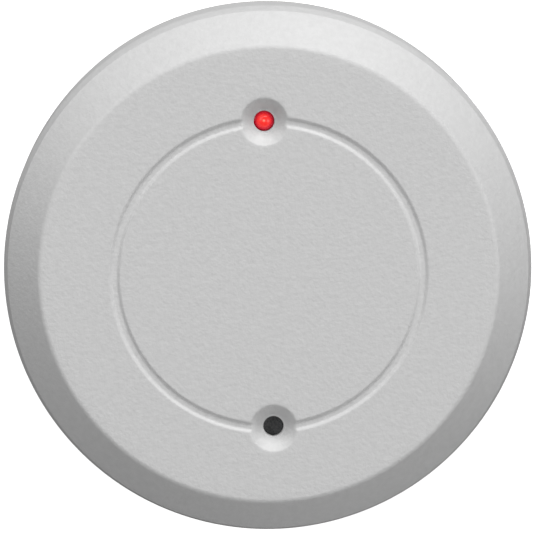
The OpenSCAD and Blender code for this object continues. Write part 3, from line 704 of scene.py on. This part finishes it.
# %% [markdown]
# The base is moulded from the same plastic as the cover, and the latches with it. The label on the back is
# a metallised film with fine lines from rolling and, here, nothing printed on it. A noise that is
# stretched along one axis gives such lines; the same helper makes brushed, drawn and rolled metal further
# on.

# %% Base, latches and label
base_plastic = moulded("base_plastic", (0.58, 0.58, 0.57), cloud=0.015, cloud_mm=3.0, gloss=(0.5, 0.65),
                       grain_mm=0.3, grain_depth=0.008, specular=0.4)
reworked("mounting_base", base_plastic, 0.15)
reworked("cover_latches", base_plastic, 0.2)


def drawn_metal(name, colour, dark, gloss, line_mm, length_mm, along="Y", depth=0.0008, metallic=1.0):
    """Metal or foil with fine lines from rolling or drawing: a noise stretched along one axis."""
    material, tree, shader, place = blank(name)
    across, lengthwise = 1 / (line_mm * MM), 1 / (length_mm * MM)
    scale = tuple(lengthwise if axis == along else across for axis in "XYZ")
    stretch = node(tree, "ShaderNodeMapping", Scale=scale)
    tree.links.new(place, stretch.inputs["Vector"])
    lines = node(tree, "ShaderNodeTexNoise", Scale=1.0, Detail=3.0)
    tree.links.new(stretch.outputs["Vector"], lines.inputs["Vector"])
    factor = mapped(tree, lines.outputs["Fac"], 0.0, 1.0)
    tree.links.new(two_colours(tree, factor, colour, dark), shader.inputs["Base Color"])
    tree.links.new(mapped(tree, noise(tree, place, 1.1), *gloss), shader.inputs["Roughness"])
    shader.inputs["Metallic"].default_value = metallic
    bumped(tree, shader, lines.outputs["Fac"], depth)
    return material


label_foil = drawn_metal("label_foil", (0.62, 0.63, 0.64), (0.52, 0.53, 0.54), (0.3, 0.42), 0.08, 6.0, "X",
                         metallic=0.8)
reworked("rear_label", label_foil, 0.02)

# %% [markdown]
# ## The circuit board
# The laminate is glass fibre under green solder mask. The mask is thin, so the cut edge and the hole walls
# show the straw colour of the laminate; which of the two a point shows depends only on its height. Tracks,
# pads and print really stand proud of the board by their own thickness, so they are separate thin pieces,
# not a picture.

# %% Laminate
BOARD_Z, BOARD_TOP = 5.6, 7.2
BOARD_MIDDLE = (BOARD_Z + BOARD_TOP) / 2

solder_mask, mask_tree, mask_shader, mask_place = blank("solder_mask")
split = node(mask_tree, "ShaderNodeSeparateXYZ")
mask_tree.links.new(mask_place, split.inputs[0])
under_mask = within(mask_tree, split.outputs["Z"], BOARD_MIDDLE, 0.77)
weave = mapped(mask_tree, noise(mask_tree, mask_place, 0.45, 4.0), 0.0, 1.0)
greens = two_colours(mask_tree, weave, (0.010, 0.105, 0.035), (0.014, 0.125, 0.045))
straw = two_colours(mask_tree, weave, (0.42, 0.36, 0.18), (0.34, 0.30, 0.14))
either = node(mask_tree, "ShaderNodeMix", {"data_type": "RGBA"})
mask_tree.links.new(under_mask, either.inputs["Factor"])
mask_tree.links.new(greens, either.inputs["A"])
mask_tree.links.new(straw, either.inputs["B"])
mask_tree.links.new(either.outputs["Result"], mask_shader.inputs["Base Color"])
mask_tree.links.new(mapped(mask_tree, noise(mask_tree, mask_place, 5.0), 0.25, 0.4),
                    mask_shader.inputs["Roughness"])
bumped(mask_tree, mask_shader, noise(mask_tree, mask_place, 0.5, 4.0), 0.004)
reworked("circuit_board", solder_mask, 0)

# %% [markdown]
# ### Solder
# Every lead comes through its hole and ends in a fillet of solder that climbs it below the board, with a
# ring of tinned pad around. The fillet's profile is hollow, like a skirt: its height falls with the cube
# of the distance. One small lathe grid is repeated at all the holes at once, by adding the places to its
# points.

# %% Solder fillets and pads
RELAY_AT, DIP_AT = (15.5, 3), (15, -14)
DIP_X = [DIP_AT[0] + (i - 1.5) * 2.54 for i in range(4)]
WAY_Y = [(i - 3) * 5.08 for i in range(7)]
CAN_AT, CAN_R, CAN_H = [(4.5, 12.6), (11.2, -24.6)], [3.15, 2.5], [7.2, 7.6]
REGULATOR_AT, VARISTOR_AT, CRYSTAL_AT = (9.3, 18.6), (2.9, 19.2), (15, -20)
thick_leads = [(RELAY_AT[0] + x, RELAY_AT[1] + y) for x in (-3.4, 3.4) for y in (-8, -2.9, 2.2, 7.3)]
thick_leads += [(-3, y) for y in WAY_Y]
thin_leads = [(x, DIP_AT[1] + y) for x in DIP_X for y in (-3.81, 3.81)]
thin_leads += [(TAMPER_AT[0] + x, TAMPER_AT[1] + y) for x in (-3.3, 3.3) for y in (-2.25, 2.25)]
for (cx, cy), half in [(LED_AT, 1.27), (MIC_AT, 1.27), (CAN_AT[0], 1.25), (CAN_AT[1], 1.25),
                       (VARISTOR_AT, 2.5), (CRYSTAL_AT, 2.44), (REGULATOR_AT, 1.27)]:
    thin_leads += [(cx - half, cy), (cx + half, cy)]
thin_leads.append(REGULATOR_AT)


def repeated(shape, places):
    """One (points, faces) shape at many places (x, y) or (x, y, z), as one shape."""
    points, faces = shape
    shifts = np.zeros((len(places), 3))
    shifts[:, :len(places[0])] = places
    starts = np.arange(len(places))[:, None, None] * len(points)
    all_faces = []
    for size in sorted({len(face) for face in faces}):
        some = np.array([face for face in faces if len(face) == size])
        all_faces += (some[None] + starts).reshape(-1, size).tolist()
    return (points[None] + shifts[:, None]).reshape(-1, 3), all_faces


def fillet(lead, pad, climb, side, z):
    """A closed lathe: from the pad's edge on the board, up a hollow skirt to the lead. side is 1 above."""
    share = np.linspace(1, 0, 6)
    r = lead + (pad - lead) * share
    height = 0.05 + climb * (1 - share) ** 3
    skirt = np.stack([r, height], axis=-1)
    line = np.concatenate([[(lead * 0.5, 0), (pad, 0)], skirt, [(lead * 0.5, height[-1])]])
    line[:, 1] = z + side * line[:, 1]
    return turned(closed(line), sides=16)


solder_tin = moulded("solder_tin", (0.62, 0.62, 0.62), cloud=0.06, cloud_mm=0.6, gloss=(0.22, 0.45),
                     grain_mm=0.2, grain_depth=0.006, metallic=1.0)
solder_shape = joined([repeated(fillet(0.33, 1.0, 0.9, -1, BOARD_Z), thick_leads),
                       repeated(fillet(0.28, 0.75, 0.7, -1, BOARD_Z), thin_leads)])
piece("solder_joints", solder_shape, solder_tin, "base")

# %% [markdown]
# ### Tracks
# Copper tracks run from lead to lead in straight lines and 45-degree bends, and lie under the mask as low
# ridges. They could be a pattern in the mask's colour. As thin strips swept along their corners they also
# catch the light on their edges. The routes here are plausible, but they are not a working circuit.

# %% Tracks
def swept(path, out, up, section):
    """A section (out, up) carried along a path, with its two directions at each point: a closed skin."""
    rings = path[:, None] + section[None, :, :1] * out[:, None] + section[None, :, 1:] * up[:, None]
    return loft(rings)


def track(corners, width, z, height):
    """A flat strip along corners (x, y) on the board. Its sides meet in mitres: at a corner the strip's
    half-width runs along the two directions' bisector, longer by 1 / cos(half the turn)."""
    corners = np.array(corners, dtype=float)
    heading = np.diff(corners, axis=0)
    heading /= np.linalg.norm(heading, axis=1)[:, None]
    before, after = np.concatenate([heading[:1], heading]), np.concatenate([heading, heading[-1:]])
    bisector = before + after
    bisector /= np.linalg.norm(bisector, axis=1)[:, None]
    stretch = 1 / np.maximum((bisector * after).sum(axis=1), 0.4)
    out = np.stack([bisector[:, 1] * stretch, -bisector[:, 0] * stretch, 0 * stretch], axis=-1)
    path = np.column_stack([corners, np.full(len(corners), z)])
    up = np.tile([0.0, 0, 1], (len(path), 1))
    half = width / 2
    section = np.array([(-half, 0), (half, 0), (half, height * 0.6), (half - height, height),
                        (height - half, height), (-half, height * 0.6)])
    return swept(path, out, up, section)


def elbow(start, end, first="x"):
    """Corners from start to end: straight, then at 45 degrees, as boards are routed."""
    (ax, ay), (bx, by) = start, end
    if first == "x":
        run = max(abs(bx - ax) - abs(by - ay), 0)
        knee = (ax + np.sign(bx - ax) * run, ay)
    else:
        run = max(abs(by - ay) - abs(bx - ax), 0)
        knee = (ax, ay + np.sign(by - ay) * run)
    return [start, knee, end] if knee not in (start, end) else [start, end]


routes = [elbow((-3, WAY_Y[i]), (-0.8, -4.5 + 1.27 * i), "x") for i in range(7)]
routes += [elbow((DIP_X[i], -10.19), (9.6 + 0.01 * i, -5.5 + 1.27 * i), "y") for i in range(3)]
routes += [elbow((-1.27, 24.6), (-7.5, 22.4)), elbow((1.27, 24.6), (1, 29.6), "y"),
           elbow((-1.27, -24.6), (-8.2, -22)), elbow((1.27, -24.6), (1.0, -16.9), "y"),
           elbow((12.1, -4.997), (9, -8.9), "y"), [(18.9, 10.3), (23, 10.3)], elbow((18.9, 0.1), (23, 0.6)),
           elbow((12.56, -20), (7.3, -18.6)), elbow((7.4, 26.4), (7.6, 30.2), "y"),
           elbow((18.8, 17.05), (23, 10), "y"), elbow((11.2, -27.5), (9.2, -31.4), "y"),
           [(24.6, 14), (24.6, -12), (22, -18), (20.3, -20.5)], [(-9.6, 25), (-9.6, -20)]]
track_green = moulded("track_green", (0.035, 0.27, 0.095), cloud=0.1, cloud_mm=0.6, gloss=(0.22, 0.36),
                      grain_mm=0.4, grain_depth=0.002)
tracks = joined([track(route, 0.4, BOARD_TOP - 0.01, 0.045) for route in routes])
piece("board_tracks", tracks, track_green, "base")

# %% [markdown]
# ### Print
# Thin white outlines on the board show where each part goes. They carry no letters here. An outline is a
# strip along a closed path, so a square's sides, its corners and a circle all come from the same helper.

# %% Outlines on the board
def loop_strip(path, width, z, height):
    """A strip of a width round a closed path (x, y), from z up to z + height: outside and inside walls,
    moved by half the width along the path's own normals."""
    ahead, behind = np.roll(path, -1, axis=0), np.roll(path, 1, axis=0)
    along = ahead - behind
    along /= np.linalg.norm(along, axis=1)[:, None]
    out = np.stack([along[:, 1], -along[:, 0]], axis=-1)
    rows = [np.column_stack([path + side * width / 2 * out, np.full(len(path), level)])
            for side, level in ((1, z), (1, z + height), (-1, z + height), (-1, z), (1, z))]
    return net(np.stack(rows), around=True)


def box_path(centre, size, corner):
    """A rectangle with round corners as a closed path, each corner a quarter circle of five points."""
    turn = np.radians(np.linspace(0, 90, 5))
    arcs = []
    for k, (sx, sy) in enumerate([(1, 1), (-1, 1), (-1, -1), (1, -1)]):
        middle = np.array(centre) + [sx * (size[0] / 2 - corner), sy * (size[1] / 2 - corner)]
        angle = turn + k * pi / 2
        arcs.append(middle + corner * np.stack([np.cos(angle), np.sin(angle)], axis=-1))
    return np.concatenate(arcs)


def ring_path(centre, radius, sides=48):
    """A circle as a closed path."""
    angle = np.linspace(0, 2 * pi, sides, endpoint=False)
    return np.array(centre) + radius * np.stack([np.cos(angle), np.sin(angle)], axis=-1)


RESISTORS = [(-7.5, 22.4), (-7.5, 24.6), (-7.5, 26.8), (1, 29.6), (1, 31.8), (9, -8.9), (12, -8.9),
             (23, 10), (23, 7.6), (23, 5.2), (23, -2), (-8.2, -22), (-8.2, -24.2), (7.3, -18.6)]
CERAMICS = [(4.2, 8), (8.6, 10.2), (9.2, -31.4), (12.6, -31.4), (23, 0.6), (23, -4.8), (7.6, 30.2)]
outlines = [box_path(RELAY_AT, (11, 21), 0.5), box_path(DIP_AT, (11.7, 8.3), 0.3),
            box_path(TAMPER_AT, (8.4, 7), 0.5), box_path(CRYSTAL_AT, (10.8, 3.5), 1.7),
            ring_path(LED_AT, 2.8), ring_path(MIC_AT, 6.7), ring_path(CAN_AT[0], 3.6),
            ring_path(CAN_AT[1], 3.0)]
outlines += [box_path(place, (2.95, 1.7), 0.2) for place in RESISTORS + CERAMICS]
outlines += [box_path(place, (5.2, 3.2), 0.2) for place in ((7.4, 26.4), (12.6, 26.4))]
print_white = moulded("print_white", (0.72, 0.72, 0.70), cloud=0.05, cloud_mm=0.6, gloss=(0.5, 0.7),
                      grain_mm=0.15, grain_depth=0.003)
prints = joined([loop_strip(path, 0.16, BOARD_TOP - 0.01, 0.03) for path in outlines])
piece("board_print", prints, print_white, "base")

# %% [markdown]
# ## Small parts on the board
# Chip resistors and capacitors have tinned caps at both ends that wrap round the body; the solder wets
# them and spreads on the pad. The body between the caps is ceramic, black with a glassy coat on the
# resistors and tan on the capacitors. A cap is a slightly larger rounded block over each end, lofted
# through rounded outlines.

# %% Chip resistors and capacitors
def rounded_block(size, corner, edge, z=0.0):
    """A block centred on x and y and standing on z, with round corners and edges: outlines that shrink by
    edge * (1 - cos) as they come within edge of the top or bottom."""
    turn = np.radians([90, 60, 30, 0])
    lower = list(zip(edge * (1 - np.sin(turn)), edge * (1 - np.cos(turn))))
    levels = lower + [(size[2] - height, inset) for height, inset in lower[::-1]]
    rings = []
    for height, inset in levels:
        path = box_path((0, 0), (size[0] - 2 * inset, size[1] - 2 * inset), max(corner - inset, 0.01))
        rings.append(np.column_stack([path, np.full(len(path), z + height)]))
    return loft(np.stack(rings))


def chip_ends(height):
    """Two caps of a chip and the solder wedge in front of each."""
    cap = rounded_block((0.42, 1.29, height + 0.03), 0.05, 0.04, BOARD_TOP)
    wedge_side = np.array([(0, 0), (0.42, 0), (0.40, 0.06), (0.2, 0.16), (0.08, 0.34), (0.0, 0.42)])
    path = np.array([[0, -0.58, 0], [0, -0.3, 0], [0, 0.3, 0], [0, 0.58, 0]], dtype=float)
    ends = []
    for side in (-1, 1):
        out = np.tile([float(side), 0, 0], (4, 1))
        wedge = swept(path + [side * 0.98, 0, BOARD_TOP], out, np.tile([0.0, 0, 1], (4, 1)), wedge_side)
        ends += [(cap[0] + [side * 0.82, 0, 0], cap[1]), wedge]
    return joined(ends)


chip_end_shape = joined([repeated(chip_ends(0.55), RESISTORS), repeated(chip_ends(1.0), CERAMICS)])
piece("chip_ends", chip_end_shape, solder_tin, "base")
chip_glass = moulded("chip_glass", (0.02, 0.02, 0.022), cloud=0.15, cloud_mm=0.5, gloss=(0.15, 0.3),
                     grain_mm=0.15, grain_depth=0.002)
chip_ceramic = moulded("chip_ceramic", (0.44, 0.30, 0.17), cloud=0.08, cloud_mm=0.3, gloss=(0.45, 0.6),
                       grain_mm=0.1, grain_depth=0.003)
reworked("chip_resistors", chip_glass, 0.04)
reworked("chip_capacitors", chip_ceramic, 0.06)

# %% [markdown]
# ### Can capacitors
# An aluminium can with a rubber bung, crimped near the foot, in a shrunk plastic sleeve that leaves the
# can's top bare. The sleeve has a pale stripe on the side of the negative lead. Sleeve and top are two
# pieces, because they are two materials; the stripe is a band of the sleeve's colour chosen by y and x.

# %% Cans
def can_side(place, r, h):
    """The sleeve: round the can, over the crimp and 0.7 mm in over the top edge."""
    z = BOARD_TOP + 0.1
    line = rounded([(r * 0.6, z + 0.02, 0), (r - 0.25, z + 0.02, 0.15), (r, z + 0.35, 0.2),
                    (r, z + 0.85, 0.15), (r - 0.28, z + 1.2, 0.2), (r, z + 1.55, 0.15),
                    (r, z + h - 0.02, 0.35),
                    (r - 0.7, z + h - 0.02, 0.03), (r - 0.7, z + h - 0.1, 0.03), (r * 0.6, z + h - 0.1, 0),
                    (r * 0.6, z + 0.02, 0)], 4)
    return turned(line, place, 64)


def can_cap(place, r, h):
    """The bare top, 0.04 mm below the sleeve's edge, with a shallow dish."""
    z = BOARD_TOP + 0.1 + h
    line = rounded([(0, z - 0.3, 0), (r - 0.65, z - 0.3, 0), (r - 0.65, z - 0.05, 0.05),
                    (r - 0.9, z - 0.05, 0.1), (r - 1.1, z - 0.12, 0.1), (0, z - 0.12, 0)], 3)
    return turned(line, place, 64)


sleeve_film, sleeve_tree, sleeve_shader, sleeve_place = blank("sleeve_film")
sleeve_split = node(sleeve_tree, "ShaderNodeSeparateXYZ")
sleeve_tree.links.new(sleeve_place, sleeve_split.inputs[0])
stripes = []
for (cx, cy), r in zip(CAN_AT, CAN_R):
    right_side = within(sleeve_tree, sleeve_split.outputs["X"], cx + r, 0.28 * r)
    beside = within(sleeve_tree, sleeve_split.outputs["Y"], cy, r)
    stripes.append(sums(sleeve_tree, "MULTIPLY", right_side, beside))
stripe = sums(sleeve_tree, "MAXIMUM", *stripes)
sleeve_tree.links.new(two_colours(sleeve_tree, stripe, (0.012, 0.018, 0.05), (0.42, 0.45, 0.5)),
                      sleeve_shader.inputs["Base Color"])
sleeve_tree.links.new(mapped(sleeve_tree, noise(sleeve_tree, sleeve_place, 1.5), 0.22, 0.36),
                      sleeve_shader.inputs["Roughness"])
bumped(sleeve_tree, sleeve_shader, noise(sleeve_tree, sleeve_place, 0.9), 0.006)
cans = list(zip(CAN_AT, CAN_R, CAN_H))
piece("capacitor_sleeves", joined([can_side(*can) for can in cans]), sleeve_film, "base",
      ["can_capacitors"])
piece("capacitor_tops", joined([can_cap(*can) for can in cans]), capsule_steel, "base")

# %% [markdown]
# ### Varistor
# The varistor is a disc of zinc oxide dipped in blue epoxy. The coat is thick in the middle and thin at
# the rim, and runs down a little on the two leads. It is a lathe about the Y axis whose profile is nearly
# an ellipse.

# %% Varistor
def dipped_disc(centre, radius, thick, sides=64, steps=12):
    """A disc about an axis along Y. With t from 0 to 180 degrees, the radius is r * sin(t)^0.35 and y is
    -thick / 2 * cos(t), which is flat in the middle and round at the rim."""
    t = np.radians(np.linspace(0, 180, steps * 2 + 1))[:, None]
    angle = np.linspace(0, 2 * pi, sides, endpoint=False)
    r = radius * np.maximum(np.sin(t), 0) ** 0.35
    drip = 1 + 0.05 * np.maximum(-np.sin(angle), 0) ** 6
    y = np.repeat(-thick / 2 * np.cos(t) * 0.98, sides, axis=1)
    points = np.stack([centre[0] + r * np.cos(angle) * 0.99, centre[1] + y,
                       centre[2] + r * 0.95 * np.sin(angle) * drip], axis=-1)
    return net(points, around=True)


epoxy_blue = moulded("epoxy_blue", (0.02, 0.09, 0.34), cloud=0.08, cloud_mm=1.0, gloss=(0.3, 0.45),
                     grain_mm=0.5, grain_depth=0.01)
piece("varistor_coat", dipped_disc((2.9, 19.2, 11.6), 3.4, 2.6), epoxy_blue, "base",
      ["varistor_disc"])

# %% [markdown]
# ### Chips and other parts
# Chips, regulator and diodes are pressed from black epoxy filled with glass powder, which is matt and
# rather rough; their leads are tinned copper strip. The crystal sits in a drawn steel can. The CAD shapes
# are right, so they only get round edges. The diodes also get their end tabs and the pale bar that marks
# the cathode.

# %% Chips, regulator, diodes and crystal
chip_moulding = moulded("chip_moulding", (0.028, 0.028, 0.03), cloud=0.12, cloud_mm=0.6, gloss=(0.55, 0.75),
                        grain_mm=0.12, grain_depth=0.004)
tin_plate = drawn_metal("tin_plate", (0.66, 0.66, 0.65), (0.55, 0.55, 0.54), (0.25, 0.42), 0.06, 0.8, "Z")
reworked("controller_body", chip_moulding, 0.05)
reworked("amplifier_body", chip_moulding, 0.05)
reworked("regulator_body", chip_moulding, 0.12)
reworked("surge_diodes", chip_moulding, 0.12)
diode_tab = rounded_block((0.36, 1.4, 1.15), 0.08, 0.06, BOARD_TOP)
DIODES = [(7.4, 26.4), (12.6, 26.4)]
tab_places = [(x + side * 2.02, y, 0) for x, y in DIODES for side in (-1, 1)]
piece("diode_tabs", repeated(diode_tab, tab_places), solder_tin, "base")
diode_mark = rounded_block((0.45, 2.3, 0.03), 0.05, 0.005, BOARD_TOP + 2.2)
piece("diode_marks", repeated(diode_mark, [(x - 1.4, y, 0) for x, y in DIODES]), print_white, "base")
reworked("crystal_can", capsule_steel, 0.18, 3)
for name, bevel in (("controller_leads", 0.03), ("amplifier_leads", 0.03), ("led_leads", 0.05),
                    ("microphone_leads", 0.05), ("tamper_pins", 0.05), ("switch_pins", 0.05),
                    ("relay_pins", 0.06), ("radial_leads", 0.05), ("terminal_pins", 0.06)):
    reworked(name, tin_plate, bevel)

# %% [markdown]
# ## Relay
# The relay's coil is the one place where a plain cylinder would look wrong: hundreds of turns of enamelled
# copper wire lie side by side, and light picks out each turn. The coil's surface is one grid whose radius
# rises and falls with the wire, r = r0 + wire / 2 * |sin(pi * (turns along + part of a turn round))|,
# which makes one continuous screw of wire. The case over it is thin, clear brown plastic, so the works
# show through.

# %% Coil
COIL_AT, COIL_Z, COIL_R, BOBBIN_R, COIL_HALF = (15.5, 1.5), 12.5, 2.6, 1.52, 4.44


def wound_coil(wire=0.3, per_wire=6, sides=48):
    """The wound surface along Y, closed over its ends and bore."""
    turns = 2 * COIL_HALF / wire
    y = np.linspace(-COIL_HALF, COIL_HALF, int(turns * per_wire) + 1)[:, None]
    angle = np.linspace(0, 2 * pi, sides, endpoint=False)
    r = COIL_R - wire / 3 + wire / 3 * np.abs(np.sin(pi * (y / wire + angle / (2 * pi))))
    outer = np.stack([COIL_AT[0] + r * np.cos(angle), COIL_AT[1] + np.repeat(y, sides, axis=1),
                      COIL_Z + r * np.sin(angle)], axis=-1)
    bore = outer[[-1, 0]].copy()
    bore[..., 0] = COIL_AT[0] + BOBBIN_R * np.cos(angle)
    bore[..., 2] = COIL_Z + BOBBIN_R * np.sin(angle)
    return net(np.concatenate([outer, bore, outer[:1]]), around=True)


enamel_copper = moulded("enamel_copper", (0.62, 0.24, 0.10), cloud=0.1, cloud_mm=0.8, gloss=(0.2, 0.35),
                        grain_mm=0.3, grain_depth=0.001, metallic=0.9)
piece("coil_winding", wound_coil(), enamel_copper, "base", ["relay_coil"], sharp=80)

# %% [markdown]
# The other parts of the relay are a black bobbin and foot, a bent yoke and an armature of soft iron,
# blades of contact alloy, and the case. The case lets light through and tints it, which takes transmission
# in the shader and a wall of real thickness in the mesh, and the CAD node has one.

# %% Relay's other parts
black_nylon = moulded("black_nylon", (0.022, 0.022, 0.024), cloud=0.12, cloud_mm=1.0, gloss=(0.4, 0.55),
                      grain_mm=0.2, grain_depth=0.005)
soft_iron = drawn_metal("soft_iron", (0.50, 0.50, 0.50), (0.40, 0.40, 0.41), (0.3, 0.5), 0.1, 2.0, "Y")
contact_alloy = drawn_metal("contact_alloy", (0.78, 0.56, 0.26), (0.66, 0.46, 0.2), (0.22, 0.36), 0.05,
                            1.0, "Z")
reworked("relay_base", black_nylon, 0.1)
reworked("relay_bobbin", black_nylon, 0.06)
reworked("relay_yoke", soft_iron, 0.06)
reworked("relay_armature", soft_iron, 0.06)
reworked("relay_contacts", contact_alloy, 0.05)
smoke_case = moulded("smoke_case", (0.80, 0.60, 0.34), cloud=0.02, cloud_mm=5.0, gloss=(0.06, 0.11),
                     grain_mm=3.0, grain_depth=0.002)
smoke_shader = smoke_case.node_tree.nodes["Principled BSDF"]
smoke_shader.inputs["Transmission Weight"].default_value = 0.95
smoke_shader.inputs["IOR"].default_value = 1.2
reworked("relay_case", smoke_case, 0.3, 3)

# %% [markdown]
# ## Terminal block, switches and screws
# The terminal block is green nylon; each way has a brass cage and a zinc-plated screw that draws it up.
# All of them keep their CAD shape with rounded edges: they are plain moulded and turned parts, and more
# detail wouldn't be seen at their size.

# %% Terminals
terminal_green = moulded("terminal_green", (0.03, 0.22, 0.10), cloud=0.05, cloud_mm=2.0, gloss=(0.35, 0.5),
                         grain_mm=0.25, grain_depth=0.006)
zinc_plate = moulded("zinc_plate", (0.52, 0.53, 0.55), cloud=0.06, cloud_mm=0.8, gloss=(0.38, 0.52),
                     grain_mm=0.2, grain_depth=0.001, metallic=1.0)
brass = drawn_metal("brass", (0.74, 0.55, 0.25), (0.62, 0.44, 0.18), (0.24, 0.4), 0.08, 1.5, "Z")
reworked("terminal_housing", terminal_green, 0.1)
reworked("board_screws", zinc_plate, 0.05)
for i in range(1, 8):
    reworked(f"terminal_screw_{i}", zinc_plate, 0.08)
    reworked(f"terminal_cage_{i}", brass, 0.06)

# %% [markdown]
# The four setting switches are white sliders in a red body, and the light stands on an ivory spacer.

# %% Switches
switch_red = moulded("switch_red", (0.42, 0.025, 0.025), cloud=0.06, cloud_mm=1.5, gloss=(0.35, 0.5),
                     grain_mm=0.2, grain_depth=0.005)
white_nylon = moulded("white_nylon", (0.72, 0.72, 0.69), cloud=0.02, cloud_mm=1.0, gloss=(0.35, 0.5),
                      grain_mm=0.2, grain_depth=0.004)
ivory_nylon = moulded("ivory_nylon", (0.66, 0.62, 0.5), cloud=0.03, cloud_mm=1.2, gloss=(0.45, 0.6),
                      grain_mm=0.25, grain_depth=0.005)
reworked("switch_body", switch_red, 0.1)
reworked("led_spacer", ivory_nylon, 0.1)
for i in range(1, 5):
    reworked(f"switch_slider_{i}", white_nylon, 0.1)

# %% [markdown]
# ## Tamper switch
# A plunger stands on a coil spring, and a post inside the cover holds it down. When the cover comes off,
# the spring lengthens; here it is drawn as it stands with the cover on, and rides on no body. The wire is
# a circle carried along a helix, with its end turns lying flat, as a real spring's do.

# %% Plunger, body and spring
reworked("tamper_body", black_nylon, 0.12)
reworked("tamper_plunger", white_nylon, 0.1)


def helix_spring(centre, radius, wire, low, high, turns, per_turn=24, sides=10):
    """A wire round a helix. Its height stays level over the first and last 0.8 of a turn, so the ends lie
    flat, and rises evenly in between."""
    share = np.linspace(0, 1, int(turns * per_turn) + 1)
    angle = 2 * pi * turns * share
    ease = np.clip((share * turns - 0.8) / (turns - 1.6), 0, 1)
    z = low + wire + (high - low - 2 * wire) * ease
    out = np.stack([np.cos(angle), np.sin(angle), 0 * angle], axis=-1)
    path = np.stack([centre[0] + radius * out[:, 0], centre[1] + radius * out[:, 1], z], axis=-1)
    turn = np.linspace(0, 2 * pi, sides, endpoint=False)
    section = wire * np.stack([np.cos(turn), np.sin(turn)], axis=-1)
    return swept(path, out, np.tile([0.0, 0, 1], (len(path), 1)), section)


spring_wire = moulded("spring_wire", (0.56, 0.56, 0.57), cloud=0.05, cloud_mm=0.6, gloss=(0.2, 0.35),
                      grain_mm=0.15, grain_depth=0.001, metallic=1.0)
SPRING_LOW, SPRING_HIGH = 10.8, 13.0
spring_shape = helix_spring(TAMPER_AT, 1.83, 0.2, SPRING_LOW, SPRING_HIGH, 4.5)
spring = piece("plunger_spring", spring_shape, spring_wire, None, ["tamper_spring"])
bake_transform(spring)
